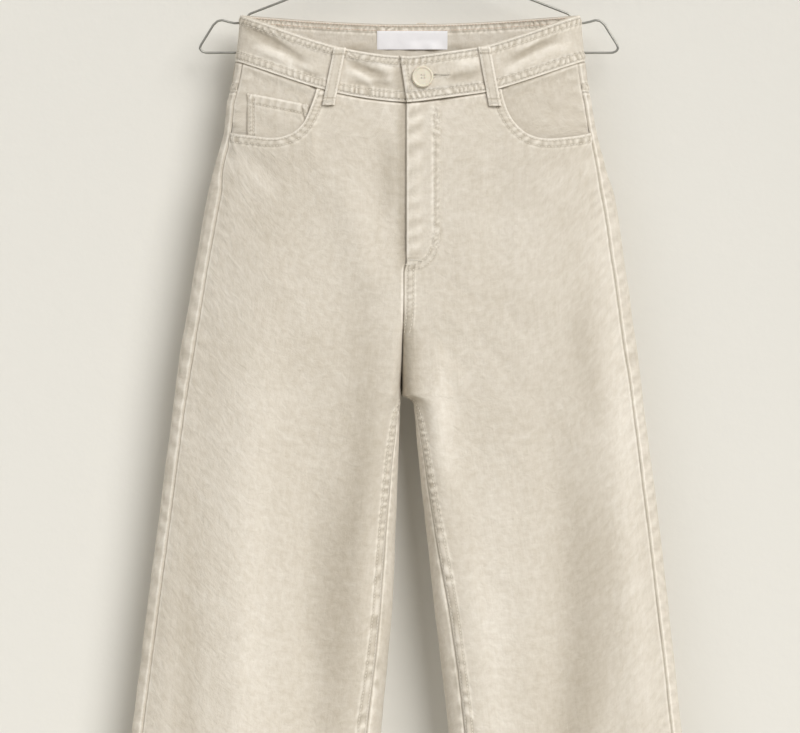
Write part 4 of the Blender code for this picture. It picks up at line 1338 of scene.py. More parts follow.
@dataclass(frozen=True)
class Tape:
    """White woven label tape: close ribs across, and finer ones down."""

    name: str = "label_tape"

    def material(self) -> Material:
        """Returns the label's material."""
        s = Shader(self.name)
        cloth, wear_and_painted_light = s.cloth(), s.mark("wear_and_painted_light")
        ribs, yarns = (
            s.node("TexWave", {"Vector": cloth, "Scale": scale}, "Fac", bands_direction=way)
            for scale, way in ((560.0, "Y"), (380.0, "X"))
        )
        soft = s.noise(cloth, 120.0, 3.0, flat=True)
        # painted shade from the mesh darkens the label's edge and foot
        tone = s.scaled(wear_and_painted_light, -0.6, s.scaled(soft, 0.5, s.math("MULTIPLY", ribs, 0.2)))
        colour = s.tint(tone, (0.98, 0.965, 0.98), (0.86, 0.84, 0.855))
        normal = s.bump(s.scaled(yarns, 0.6, ribs), 0.00007)
        return s.dress(colour, normal, 0.7, Sheen_Weight=0.25, Sheen_Roughness=0.4)


@dataclass(frozen=True)
class Plaster:
    """The plain pale wall and floor."""

    name: str
    colour: Triple
    see_through_back: bool = False

    def material(self) -> Material:
        """Returns the plain surface's material."""
        s = Shader(self.name)
        place = s.place()
        soft, rough = s.noise(place, 2.0, 3.0), s.noise(place, 90.0, 4.0)
        colour = s.tint(soft, self.colour, tuple(value * 0.975 for value in self.colour))
        material = s.dress(colour, s.bump(rough, 0.0003), 0.95, Specular_IOR_Level=0.1)
        if self.see_through_back:
            behind = s.node("NewGeometry", output="Backfacing")
            shadow = s.node("LightPath", output="Is Shadow Ray")
            share, clear = s.math("MAXIMUM", behind, shadow), s.node("BsdfTransparent")
            mixed = s.node("MixShader", {0: share, 1: s.surface.outputs[0], 2: clear})
            fill(s.tree, s.tree.nodes["Material Output"], {"Surface": mixed})
        return material


class Finishes:
    """The materials of the jeans and the hanger, each made once."""

    def __init__(self) -> None:
        """Makes every material."""
        ecru, deep = (0.872, 0.820, 0.735), (0.560, 0.490, 0.385)
        self.denim = Denim("ecru_denim", ecru, deep).material()
        self.thread = Thread("ecru_thread", (0.88, 0.84, 0.76), (0.66, 0.59, 0.48)).material()
        self.tan_thread = Thread("tan_thread", (0.78, 0.62, 0.50), (0.55, 0.40, 0.30)).material()
        self.wire = SteelWire().material()
        self.button = Resin().material()
        self.label = Tape().material()


# ---------------------------------------------------------------- stitches


class Sewing:
    """Sews rows of stitches with one Geometry Nodes tree."""

    def __init__(self, thread: Material) -> None:
        """Takes the thread's material and builds the tree."""
        self.thread = thread
        self.inputs: dict[str, str] = {}
        self.tree = self.build_tree()

    def build_tree(self) -> Tree:
        """Builds the tree: a stitch, bowed out of the cloth, at even places along each path."""
        tree = bpy.data.node_groups.new("stitch_rows", "GeometryNodeTree")
        face = tree.interface
        kinds = {"Paths": "Geometry", "Pitch": "Float", "Stitch Length": "Float"}
        kinds |= {"Thickness": "Float", "Turned": "Float", "Seed": "Int", "Thread": "Material"}
        for name, kind in kinds.items():
            face.new_socket(name, in_out="INPUT", socket_type="NodeSocket" + kind)
        face.new_socket("Stitches", in_out="OUTPUT", socket_type="NodeSocketGeometry")
        sockets = [item for item in face.items_tree if item.in_out == "INPUT"]
        self.inputs = {item.name: item.identifier for item in sockets}

        def step(kind: str, inputs: dict | None = None, output: int | str = 0, **how) -> Socket:
            """Adds a geometry node, as add_node does."""
            return add_node(tree, "GeometryNode" + kind, inputs or {}, output, **how)

        def times(a: Socket, b: float) -> Socket:
            """Returns a product."""
            return add_node(tree, "ShaderNodeMath", {0: a, 1: b}, operation="MULTIPLY")

        def vector(**parts: Socket | float) -> Socket:
            """Returns a vector made of X, Y and Z."""
            return add_node(tree, "ShaderNodeCombineXYZ", parts)

        def chance(low: float, high: float, seed: Socket | int) -> Socket:
            """Returns an even chance between two values."""
            inputs = {2: low, 3: high, "Seed": seed}
            return add_node(tree, "FunctionNodeRandomValue", inputs, 1, data_type="FLOAT")

        start = tree.nodes.new("NodeGroupInput").outputs
        path = step("MeshToCurve", {"Mesh": start["Paths"]})
        even = step("ResampleCurve", {"Curve": path, "Length": start["Pitch"]}, mode="LENGTH")
        up = step("InputNamedAttribute", {"Name": "up"}, "Attribute", data_type="FLOAT_VECTOR")
        align = "FunctionNodeAlignRotationToVector"
        forward = add_node(tree, align, {"Vector": step("InputTangent")}, axis="X")
        turns = {"Rotation": forward, "Vector": up}
        upright = add_node(tree, align, turns, axis="Z", pivot_axis="X")
        half = times(start["Stitch Length"], 0.5)
        sunk = times(start["Thickness"], -0.55)
        bow = {"Start": vector(X=times(half, -1.0), Z=sunk), "End": vector(X=half, Z=sunk)}
        bow |= {"Middle": vector(Z=start["Thickness"]), "Resolution": 4}
        twist = times(step("SplineParameter", output="Factor"), 4.0)
        marked = {"Geometry": step("CurveQuadraticBezier", bow), "Name": "twist", "Value": twist}
        curve = step("StoreNamedAttribute", marked, data_type="FLOAT", domain="POINT")
        ring = {"Resolution": 5, "Radius": times(start["Thickness"], 0.5)}
        tube = {"Curve": curve, "Profile Curve": step("CurvePrimitiveCircle", ring)}
        stitch = step("CurveToMesh", {**tube, "Fill Caps": True})
        size = vector(X=chance(0.88, 1.12, start["Seed"]), Y=1.0, Z=1.0)
        places = {"Points": even, "Instance": stitch, "Rotation": upright, "Scale": size}
        inputs = {0: start["Turned"], 1: chance(-0.07, 0.07, 77)}
        turn = vector(Z=add_node(tree, "ShaderNodeMath", inputs, operation="ADD"))
        swung = {"Instances": step("InstanceOnPoints", places), "Rotation": turn}
        turned = step("RotateInstances", {**swung, "Local Space": True})
        real = step("RealizeInstances", {"Geometry": turned})
        dressed = step("SetMaterial", {"Geometry": real, "Material": start["Thread"]})
        smooth = step("SetShadeSmooth", {"Geometry": dressed})
        tree.links.new(smooth, tree.nodes.new("NodeGroupOutput").inputs[0])
        return tree

    def sew(
        self,
        name: str,
        rows: Sequence[StitchRow],
        pitch: float = 3.3,
        length: float = 2.6,
        thickness: float = 0.8,
        turned: float = 0.0,
        seed: int = 1,
    ) -> Object:
        """Sews rows of stitches and returns them as one plain mesh object.

        Args:
            name: the object's name.
            rows: the rows to sew.
            pitch: from one stitch to the next, in millimetres.
            length: of a stitch.
            thickness: of the thread.
            turned: how far each stitch is turned from its row, in radians.
            seed: of their small unevenness.
        """
        points = np.concatenate([row.points for row in rows])
        ups = np.concatenate([row.ups for row in rows])
        edges, first = [], 0
        for row in rows:
            edges += [(first + k, first + k + 1) for k in range(len(row.points) - 1)]
            first += len(row.points)
        paths = bpy.data.meshes.new(name + "_paths")
        paths.from_pydata((points * MM).tolist(), edges, [])
        layer = paths.attributes.new("up", "FLOAT_VECTOR", "POINT")
        layer.data.foreach_set("vector", ups.astype(np.float32).ravel())
        guide = new_object(name + "_guide", paths, None)
        modifier = guide.modifiers.new("stitches", "NODES")
        modifier.node_group = self.tree
        sizes = {"Pitch": pitch * MM, "Stitch Length": length * MM, "Thickness": thickness * MM}
        sizes |= {"Turned": turned, "Seed": seed, "Thread": self.thread}
        for label, value in sizes.items():
            modifier[self.inputs[label]] = value
        graph = bpy.context.evaluated_depsgraph_get()
        mesh = bpy.data.meshes.new_from_object(guide.evaluated_get(graph), depsgraph=graph)
        bpy.data.objects.remove(guide)
        mesh.name = name
        return new_object(name, mesh, None if mesh.materials else self.thread)


# ---------------------------------------------------------------- tailoring


@dataclass
class Tailor:
    """Makes finished pieces of cloth, which replace the frame's plain ones."""

    finishes: Finishes
    sewing: Sewing = field(init=False)

    def __post_init__(self) -> None:
        """Threads the needle."""
        self.sewing = Sewing(self.finishes.thread)

    def stitch(
        self, name: str, rows: Sequence[StitchRow], tan: bool = False, **how: float
    ) -> Object:
        """Sews rows, in tan thread or the usual one, and joins them to the frame."""
        rows = [row for row in rows if len(row.points) > 1]
        self.sewing.thread = self.finishes.tan_thread if tan else self.finishes.thread
        obj = self.sewing.sew(name, rows, **how)
        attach(obj, "root")
        return obj

    def cut(
        self,
        name: str,
        cloth: Cloth,
        nodes: Sequence[str],
        rests_on: Sequence[str],
        material: Material | None = None,
        slot: str = "denim",
        with_pieces: Sequence[Object] = (),
    ) -> None:
        """Makes a piece of cloth, measures the size that it was cut to, and joins it to the frame.

        Args:
            name: the piece's name.
            cloth: its points.
            nodes: the frame's nodes that it replaces.
            rests_on: the nodes that it hangs from or lies on; not used.
            material: its finish, or None for the denim.
            slot: its material slot in the frame; not used.
            with_pieces: the separate pieces on it, such as its stitches; not used.
        """
        sizes = sheet_sizes(cloth.base, cloth.cells)
        mesh = shell_mesh(name, cloth.outer(), cloth.inner(), cloth.cells, cloth.wear_and_painted_light)
        self.join(mesh, sizes, nodes, rests_on, material, slot, with_pieces)

    def make(
        self, name: str, cloth: Cloth, rests_on: str, sewn: Sequence[StitchRow], seed: int
    ) -> None:
        """Makes a piece that replaces the node of its name, and its stitches.

        Args:
            name: the node's name.
            cloth: the piece's points.
            rests_on: the node that it hangs from or lies on; not used.
            sewn: its rows of stitches.
            seed: of their small unevenness.
        """
        stitches = self.stitch(name + "_stitches", sewn, seed=seed)
        self.cut(name + "_cloth", cloth, [name], [rests_on], with_pieces=[stitches])

    def join(
        self,
        mesh: Mesh,
        sizes: tuple[tuple[float, float], float],
        nodes: Sequence[str],
        rests_on: Sequence[str],
        material: Material | None = None,
        slot: str = "denim",
        with_pieces: Sequence[Object] = (),
    ) -> None:
        """Joins a piece's mesh to the frame as cut does."""
        name = mesh.name
        obj = new_object(name, mesh, material or self.finishes.denim)
        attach(obj, "root")
        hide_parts(*nodes)


@dataclass
class SidePiece:
    """A piece that each half of the jeans has."""

    side: Side
    tailor: Tailor

    def pick(self, left: float, right: float) -> float:
        """Returns the value for this half."""
        return left if self.side is LEFT else right


def bartack(q: float, drop: float, angle: float, length: float = 9.0) -> Array:
    """Returns the path (q, drop) of a bartack about a middle point, at an angle from level."""
    way = np.array([math.cos(math.radians(angle)), math.sin(math.radians(angle))])
    return np.array([q, drop]) + np.linspace(-length / 2, length / 2, 12)[:, None] * way


def mouth_path(side: Side, count: int = 260) -> Array:
    """Returns the pocket mouth's path (q, drop), from the waistband to the side seam."""
    points = [(getattr(m, side.value + "_q"), getattr(m, side.value + "_drop")) for m in MOUTHS]
    points.append((float(FORM.side_seam_q(side, MOUTH_FOOT)) - SEAM_GAP / 2, MOUTH_FOOT))
    return smooth_path(points, count)


def mouth_lift(side: Side, q: Array, drop: Array) -> Array:
    """Returns how far the pocket's hem stands out, further on the right, over the coin pocket."""
    return MOUTH_LIFT[side] * ramp(q, 84, 95) * ramp(q, 178, 166) * ramp(drop, 302, 280)


def leg_share(drop: Array) -> Array:
    """Returns 0 above the fork and 1 along the inseam."""
    return ramp(drop, CROTCH - 8, CROTCH + 12)


def hem_share(drop: Array) -> Array:
    """Returns 1 near the hem and 0 above."""
    return ramp(drop, HEM - 60, HEM - 40)


def fly_path(inset: float = 0.0, count: int = 120) -> Array:
    """Returns the path (q, drop) of the fly's J, from the waistband down and in to the centre."""
    width, foot = FLY_SEW_OUT - FLY_EDGE - inset, FLY_BOTTOM + 6 - inset
    top = float(FORM.band_edge(LEFT, FRONT, FLY_SEW_OUT, 1)) + BAND_SEAM_GAP
    straight = np.linspace(top, FLY_CURVE_FROM, count // 2, endpoint=False)
    angle = np.linspace(0, math.pi / 2, count // 2)
    curve_q = FLY_EDGE + width * np.cos(angle) ** (2 / FLY_SQUARE)
    curve_drop = FLY_CURVE_FROM + (foot - FLY_CURVE_FROM) * np.sin(angle) ** (2 / FLY_SQUARE)
    down = np.stack([np.full(len(straight), FLY_EDGE + width), straight], -1)
    return np.concatenate([down, np.stack([curve_q, curve_drop], -1)])


@dataclass
class FrontPanel(SidePiece):
    """A front panel, from the pocket mouth and side seam to the centre front and inseam."""

    corner: int = field(init=False)
    above: int = field(init=False)

    def centre_q(self, drop: Array) -> Array:
        """Returns where the panel ends at the centre front above the fork."""
        inner = FORM.body[self.side.value + "_inner"](np.minimum(drop, CROTCH))
        if self.side is LEFT:
            return inner + (FLY_EDGE - inner) * ramp(drop, FLY_BOTTOM + 4, FLY_BOTTOM - 2)
        return inner - 9.0 * ramp(drop, FLY_BOTTOM - 2, FLY_BOTTOM - 22)

    def inner_edge_q(self, drop: Array) -> Array:
        """Returns where the panel ends towards the middle at any height."""
        turn = FORM.body["turn"](drop) + 0.35 * ramp(drop, CROTCH - 4, CROTCH + 4)
        leg = FORM.inner_q(self.side, drop, turn)
        return np.where(np.asarray(drop) < CROTCH, self.centre_q(drop), leg)

    def seam_q(self, drop: float) -> float:
        """Returns where the panel ends at the side seam."""
        return float(FORM.side_seam_q(self.side, drop)) - SEAM_GAP / 2

    def split_mouth(self) -> tuple[Array, Array]:
        """Returns the pocket mouth's low part, from the side seam in, and its steep part."""
        mouth, bend = mouth_path(self.side), MOUTHS[3]
        knee = np.array([getattr(bend, self.side.value + end) for end in ("_q", "_drop")])
        turn = int(np.argmin(np.linalg.norm(mouth - knee - (4.5, 5.0), axis=1)))
        return mouth[turn:][::-1], mouth[: turn + 1]

    def lay_out(self) -> Cloth:
        """Lays the panel's rows: level below the waistband, round the mouth, and down the leg."""
        side = self.side
        low, steep = self.split_mouth()
        corner = steep[-1]
        # columns: from the side seam to the corner, and on to the centre
        width = float(FORM.side_seam_q(side, SIDE_ROW) - corner[0])
        outer_share = graded(0, width, (0.8, 1.3), 3.4, 12) / width
        inner_width = float(corner[0] + 3)
        inner_share = graded(0, inner_width, (0.9, 0.8), 2.6, 12) / inner_width
        self.corner = len(outer_share) - 1
        low_arc, steep_arc = run_of(low), run_of(steep)
        rows_q, rows_drop = [], []
        # above the corner
        for v in graded(0, 1, (0.9 / 42, 1.6 / 42), 2.0 / 42, 9 / 42):
            start = [np.interp(v, steep_arc / steep_arc[-1], steep[:, axis]) for axis in (0, 1)]
            top = float(FORM.band_edge(side, FRONT, 0, 1)) + SEAM_GAP
            end_drop = top + (CORNER_ROW - top) * v
            q = start[0] + (float(self.centre_q(end_drop)) - start[0]) * inner_share
            edge = FORM.band_edge(side, FRONT, q, 1) + SEAM_GAP
            chord = edge[0] + (edge[-1] - edge[0]) * inner_share
            drop = start[1] + (end_drop - start[1]) * inner_share + (1 - v) * (edge - chord)
            rows_q.append(np.concatenate([np.full(self.corner, start[0]), q]))
            rows_drop.append(np.concatenate([np.full(self.corner, start[1]), drop]))
        self.above = len(rows_q) - 1
        # round the mouth's low part, down to a straight row
        centre_end = float(self.centre_q(CENTRE_ROW))
        seam_low = self.seam_q(SIDE_ROW)
        corner_share = (seam_low - corner[0]) / (seam_low - centre_end)
        inner_part = corner_share + inner_share[1:] * (1 - corner_share)
        share = np.concatenate([outer_share * corner_share, inner_part])
        first_q, first_drop = rows_q[-1].copy(), rows_drop[-1].copy()
        for first, axis in ((first_q, 0), (first_drop, 1)):
            first[: self.corner + 1] = np.interp(outer_share, low_arc / low_arc[-1], low[:, axis])
        rows_q[-1], rows_drop[-1] = first_q, first_drop
        last_q = seam_low + (centre_end - seam_low) * share
        last_drop = SIDE_ROW + (CENTRE_ROW - SIDE_ROW) * share
        for v in graded(0, 1, (0.9 / 62, 3.0 / 62), 2.6 / 62, 13 / 62)[1:]:
            q = first_q + (last_q - first_q) * v
            drop = first_drop + (last_drop - first_drop) * v
            q = q + (self.seam_q(drop[0]) - q[0]) * (1 - share) ** 6
            q = q + (float(self.centre_q(drop[-1])) - q[-1]) * share**12
            rows_q.append(q)
            rows_drop.append(drop)
        # down to the hem
        centre_drops = Curve(
            [SIDE_ROW, 365, 403, 440, 470, LEVEL_ROW, 2000],
            [CENTRE_ROW, 384, 414, 444, 471, LEVEL_ROW, 2000],
        )
        upper = graded(SIDE_ROW, COARSE_ROW, (3.0, 3.4), 2.8, 10)[1:]
        lower = graded(COARSE_ROW, HEM, (3.4, 0.9), 4.4, 14)[1:]
        for side_drop in np.concatenate([upper, lower]):
            seam = self.seam_q(side_drop)
            centre_drop = float(centre_drops(side_drop)) if side_drop < LEVEL_ROW else side_drop
            inner = float(self.inner_edge_q(centre_drop))
            rows_q.append(seam + (inner - seam) * share)
            rows_drop.append(side_drop + (centre_drop - side_drop) * share)
        drop, q = np.array(rows_drop), np.array(rows_q)
        cells = np.ones((len(q) - 1, q.shape[1] - 1), bool)
        cells[: self.above, : self.corner] = False
        lift = mouth_lift(side, q, drop)
        return Cloth(side is LEFT, True, drop, q, lift, cells=cells)

    def shape(self, cloth: Cloth) -> None:
        """Adds the panel's creases and sewn edges."""
        side, q, drop = self.side, cloth.q, cloth.drop
        seed = self.pick(3, 6)
        cloth.crease(CREASES)
        # painted light and shade of the large folds
        cloth.wear_and_painted_light += crease_relief(TONE_BANDS, cloth.left, cloth.front, drop, q)
        cloth.crumple(26, 0.30, seed)
        cloth.crumple(12, 0.13, seed + 1)
        row = np.arange(q.shape[0])[:, None]
        from_side = np.where(row >= self.above, cloth.across, 99.0)
        cloth.seam(SIDE_FRONT, from_side, cloth.down, ramp(row - self.above, 0, 12))
        mouth, along = path_distance(mouth_path(side), q, drop)
        cloth.seam(MOUTH_EDGE, mouth, along, ramp(drop, 330, 310))
        waist = drop - FORM.band_edge(side, FRONT, q, 1) - SEAM_GAP
        cloth.seam(WAIST_SEAM, waist, q, ramp(waist, 40, 20))
        legs = leg_share(drop)
        cloth.seam(INSEAM_FRONT, cloth.from_far, cloth.down, legs)
        cloth.seam(HEM_EDGE, cloth.from_foot, cloth.across, hem_share(drop))
        if side is LEFT:
            self.shape_fly(cloth)
        else:
            below_fly = ramp(drop, FLY_BOTTOM - 4, FLY_BOTTOM + 6) * (1 - legs)
            cloth.seam(CENTRE_UNDER, cloth.from_far, drop, below_fly)
            beside_fly = ramp(drop, FLY_BOTTOM + 30, FLY_BOTTOM - 30)
            # painted shadow beside the fly's edge, on top of a real dip
            cloth.wear_and_painted_light -= (1.6 * ramp(q, 15, 3) + 3.0 * ramp(q, 6.2, 3.9)) * beside_fly
            cloth.relief -= 0.9 * ramp(q, 12, 3) * beside_fly

    def shape_fly(self, cloth: Cloth) -> None:
        """Adds the raised fly, the seam below it and the shade at the fork's strip."""
        q, drop, path = cloth.q, cloth.drop, fly_path()
        in_fly = ramp(drop, FLY_BOTTOM + 4, FLY_BOTTOM - 4)
        fly, along = path_distance(path, q, drop)
        reach = np.interp(drop, path[:, 1], path[:, 0], right=-99)
        inside = np.where((q < reach), fly, -fly)
        cloth.relief += 1.0 * ramp(inside, -1.5, 3.5) + 1.0 * ramp(q, 15, 2) * in_fly
        cloth.seam(FLY_SEW, inside + 1.2, along, ramp(inside, -12, -4) * ramp(drop, 236, 244))
        cloth.seam(FLY_FRONT, cloth.from_far, drop, in_fly * ramp(cloth.from_far, 22, 12))
        below_fly = (1 - in_fly) * ramp(drop, CROTCH - 40, CROTCH - 62)
        cloth.seam(CENTRE_SEAM, cloth.from_far, drop, below_fly)
        # painted shade on the strip of the centre seam at the fork
        strip = ramp(drop, 425, 492) * ramp(drop, 533, 527)
        cloth.wear_and_painted_light -= strip * (3.3 * ramp(q, 5.0, 2.6) + 0.9 * ramp(q, 16, 3))
        # painted shade in a line along the fly's low bartack
        cloth.wear_and_painted_light -= 1.8 * bell(drop - 389.5, 1.2) * ramp(q, 15, 12) * ramp(q, -2.4, 0)

    def build(self) -> None:
        """Builds the panel and its stitches."""
        cloth = self.lay_out()
        self.shape(cloth)
        side, name = self.side, "front_" + self.side.value
        mouth = mouth_path(side)
        rows = [cloth.path_row(offset_path(mouth, d)[2:-2]) for d in MOUTH_EDGE.rows]
        leg = CROTCH - float(cloth.drop[0, -1])
        rows += [cloth.down_row(d, far=True, start=leg - 2) for d in INSEAM_FRONT.rows]
        rows += [cloth.across_row(d, foot=True, start=1.0) for d in HEM_EDGE.rows]
        tacks = [cloth.path_row(bartack(mouth[-1][0] - 5, mouth[-1][1] + 5, 80, 8.0))]
        nodes = [name]
        if side is LEFT:
            nodes.append("fly_facing")
            rows += [cloth.path_row(fly_path(inset)[4:]) for inset in (0.0, 5.0)]
            fall = FLY_BOTTOM - float(cloth.drop[0, -1])
            reach = dict(start=fall + 6, end=leg - 60)
            rows += [cloth.down_row(d, far=True, **reach) for d in CENTRE_SEAM.rows]
            tacks += [cloth.path_row(bartack(*spot)) for spot in FLY_TACKS]
        stitches = self.tailor.stitch(name + "_stitches", rows, seed=3)
        packed = self.tailor.stitch(name + "_bartacks", tacks, pitch=0.6, **TACKED)
        pieces = [stitches, packed]
        self.tailor.cut(name + "_panel", cloth, nodes, ["waistband"], with_pieces=pieces)


@dataclass
class BackPanel(SidePiece):
    """A back panel, from the side seam on the front round the fold to the inseam."""

    def lay_out(self, rows: Sequence[tuple[float, float]]) -> tuple[Array, Array, Array]:
        """The columns at each row: (front, drop, q).

        Args:
            rows: the height of each row at the side and at the centre.
        """
        side = self.side
        strip = np.linspace(0, 1, 20)
        fold = 70 * np.linspace(0, 1, 27)[1:] ** 0.85
        straight = np.linspace(0, 1, 35)[1:]
        inner = graded(0, 1, (2.6 / 70, 0.9 / 70), 2.3 / 70, 12 / 70)[1:]
        share = np.concatenate([np.zeros(len(strip) + len(fold)), straight, np.ones(len(inner))])
        fronts, drops, qs = [], [], []
        for side_drop, centre_drop in rows:
            drop = side_drop + (centre_drop - side_drop) * share
            angle = float(FORM.side_seam_angle(side, side_drop)) * (1 - strip)
            on_strip = FORM.fold_q(side, True, side_drop, angle)
            on_fold = FORM.fold_q(side, False, side_drop, fold)
            start, end = on_fold[-1], float(FORM.inner_q(side, centre_drop, 75))
            on_straight = start + (end - start) * straight
            edge = 0.35 if centre_drop >= CROTCH - 1 else 0.0
            last = float(FORM.body["turn"](centre_drop)) - edge
            angles = -75 + (last + 75) * inner
            on_inner = FORM.inner_q(side, centre_drop, np.abs(angles))
            front = np.zeros(len(share), bool)
            front[: len(strip) - 1] = True
            front[len(share) - len(inner) :] = angles > 0
            fronts.append(front)
            drops.append(drop)
            qs.append(np.concatenate([on_strip, on_fold, on_straight, on_inner]))
        return np.array(fronts), np.array(drops), np.array(qs)

    def build(self) -> None:
        """Builds the panel and its stitches."""
        side, name, level = self.side, "back_" + self.side.value, 495
        centre_drops = Curve(
            [YOKE_SIDE + SEAM_GAP, 245, 265.3, 285, 305, 330, 365, 403, 440, 470, level, 2000],
            [YOKE_CENTRE + SEAM_GAP, 275, 290, 304, 320, 342, 370, 404, 440, 470, level, 2000],
        )
        upper = graded(YOKE_SIDE + SEAM_GAP, COARSE_ROW, (1.0, 4.2), 4.0, 12)
        lower = graded(COARSE_ROW, HEM, (4.2, 0.9), 5.7, 14)[1:]
        drops = np.concatenate([upper, lower])
        rows = [(d, float(centre_drops(d)) if d < level else d) for d in drops]
        front, drop, q = self.lay_out(rows)
        cloth = Cloth(side is LEFT, front, drop, q)
        seed = self.pick(13, 16)
        cloth.crease(CREASES)
        cloth.crumple(28, 0.32, seed)
        cloth.crumple(12, 0.13, seed + 1)
        legs = leg_share(drop)
        cloth.seam(SIDE_STRIP[side], cloth.across, cloth.down)
        cloth.seam(YOKE_LOW, cloth.down, cloth.across)
        cloth.seam(INSEAM_BACK, cloth.from_far, cloth.down, legs)
        centre = CENTRE_SEAM if side is LEFT else CENTRE_UNDER
        cloth.seam(centre, cloth.from_far, cloth.down, 1 - legs)
        cloth.seam(HEM_EDGE, cloth.from_foot, cloth.across, hem_share(drop))
        sewn = [cloth.across_row(d, foot=True, start=1.0) for d in HEM_EDGE.rows]
        if side is LEFT:
            end = CROTCH - YOKE_CENTRE - 8
            sewn += [cloth.down_row(d, far=True, end=end) for d in CENTRE_SEAM.rows]
        stitches = self.tailor.stitch(name + "_stitches", sewn, seed=5)
        yoke = "yoke_" + side.value
        self.tailor.cut(name + "_panel", cloth, [name], [yoke], with_pieces=[stitches])


@dataclass
class Yoke(SidePiece):
    """The slanted piece between the waistband and a back panel."""

    def build(self) -> None:
        """Builds the yoke and its stitches."""
        side, name = self.side, "yoke_" + self.side.value
        top_edge = BAND_TOP + BAND_HEIGHT + 4.0
        frame = BackPanel(side, self.tailor)
        front, _, q_top = frame.lay_out([(top_edge, top_edge)])
        _, drop_low, q_low = frame.lay_out([(YOKE_SIDE, YOKE_CENTRE)])
        edges = [FORM.band_edge(side, face, q_top, 1) for face in (FRONT, BACK)]
        edge = np.where(front, *edges) + BAND_SEAM_GAP
        down = graded(0, 1, (0.8 / 50, 0.8 / 50), 2.6 / 50, 10 / 50)[:, None]
        drop = edge + (drop_low - edge) * down
        q = q_top + (q_low - q_top) * down
        cloth = Cloth(side is LEFT, front, drop, q)
        cloth.crumple(20, 0.22, self.pick(23, 26))
        cloth.crumple(9, 0.1, 24)
        cloth.seam(SIDE_STRIP[side], cloth.across, cloth.down, 0.5)
        cloth.seam(WAIST_SEAM, cloth.down, cloth.across)
        cloth.seam(YOKE_EDGE, cloth.from_foot, cloth.across)
        cloth.seam(CENTRE_SEAM if side is LEFT else CENTRE_UNDER, cloth.from_far, cloth.down)
        sewn = [cloth.across_row(d, foot=True, start=3.0) for d in YOKE_EDGE.rows]
        if side is LEFT:
            sewn += [cloth.down_row(d, far=True, start=2.0) for d in CENTRE_SEAM.rows]
        self.tailor.make(name, cloth, "waistband", sewn, seed=7)


@dataclass
class PocketFacing(SidePiece):
    """The cloth that shows inside a pocket's mouth."""

    def build(self) -> None:
        """Builds the facing."""
        side, name = self.side, "pocket_facing_" + self.side.value
        mouth = mouth_path(side)
        path = offset_path(mouth, 7.0)
        arcs = np.linspace(0, 1, len(path))
        rows = np.linspace(0, 1, 46)
        low_q, low_drop = (np.interp(rows, arcs, path[:, axis]) for axis in (0, 1))
        seam_drop = BAND_TOP + BAND_HEIGHT + (MOUTH_FOOT + 8 - BAND_TOP - BAND_HEIGHT) * rows
        under_back = 2.2 * ramp(seam_drop, 256, 260)
        seam_q = FORM.side_seam_q(side, seam_drop) - SEAM_GAP / 2 + under_back
        share = graded(0, 1, (1.0 / 80, 2.0 / 80), 2.2 / 80, 10 / 80)
        q = seam_q[:, None] + (low_q - seam_q)[:, None] * share
        drop = seam_drop[:, None] + (low_drop - seam_drop)[:, None] * share
        edge = FORM.band_edge(side, FRONT, q, 1) + BAND_SEAM_GAP
        drop = np.maximum(drop, edge)
        drop[0] = edge[0]
        flat = Cloth(side is LEFT, True, drop, q)
        shown = drop < np.interp(q, mouth[:, 0], mouth[:, 1], left=0)
        near = np.maximum(ramp(flat.across, 18, 1), ramp(drop - edge, 12, 1))
        near = near * ramp(path_distance(mouth, q, drop)[0], 3, 11) * shown
        lift = -WALL - LAP_GAP - 0.4 + 2.3 * near
        cloth = Cloth(side is LEFT, True, drop, q, lift)
        cloth.crease(FACING_CREASES)
        # painted shade: the facing inside the mouth is darker all over, more on the wearer's left
        cloth.wear_and_painted_light -= self.pick(0.36, 0.1)
        cloth.crumple(17, 0.2, self.pick(33, 36))
        waist = drop - edge
        cloth.seam(WAIST_SEAM, waist, q, ramp(waist, 30, 16))
        cloth.seam(SIDE_FRONT, cloth.across, cloth.down)
        self.tailor.cut(name + "_cloth", cloth, [name], ["waistband"])


@dataclass
class CoinPocket:
    """The small pocket on the wearer's right facing."""

    tailor: Tailor

    def build(self) -> None:
        """Builds the coin pocket and its stitches."""
        across = graded(0, 1, (0.8 / 60, 0.9 / 60), 1.8 / 60, 9 / 60)
        down = graded(0, 1, (0.8 / 45, 2.0 / 45), 1.6 / 45, 13 / 45)[:, None]
        outer_q, inner_q = 159.0, 98.5
        q = outer_q + (inner_q - outer_q) * across
        top = 226.0 + 12.0 * across
        mouth = np.interp(q, [m.right_q for m in MOUTHS], [m.right_drop for m in MOUTHS])
        drop = top + (mouth + 5.0 - top) * down
        cloth = Cloth(False, True, drop, q + 0 * drop, -0.5)
        cloth.crease(COIN_CREASES)
        cloth.crumple(12, 0.16, 41)
        cloth.seam(COIN_TOP, cloth.down, cloth.across)
        cloth.seam(COIN_SIDE, cloth.across, cloth.down)
        cloth.seam(COIN_SIDE, cloth.from_far, cloth.down)
        sewn = [cloth.across_row(d, start=1.5) for d in COIN_TOP.rows]
        sewn += [cloth.down_row(d, start=1.0) for d in COIN_SIDE.rows]
        sewn += [cloth.down_row(d, far=True, start=1.0) for d in COIN_SIDE.rows[:1]]
        self.tailor.make("coin_pocket", cloth, "pocket_facing_right", sewn, seed=9)


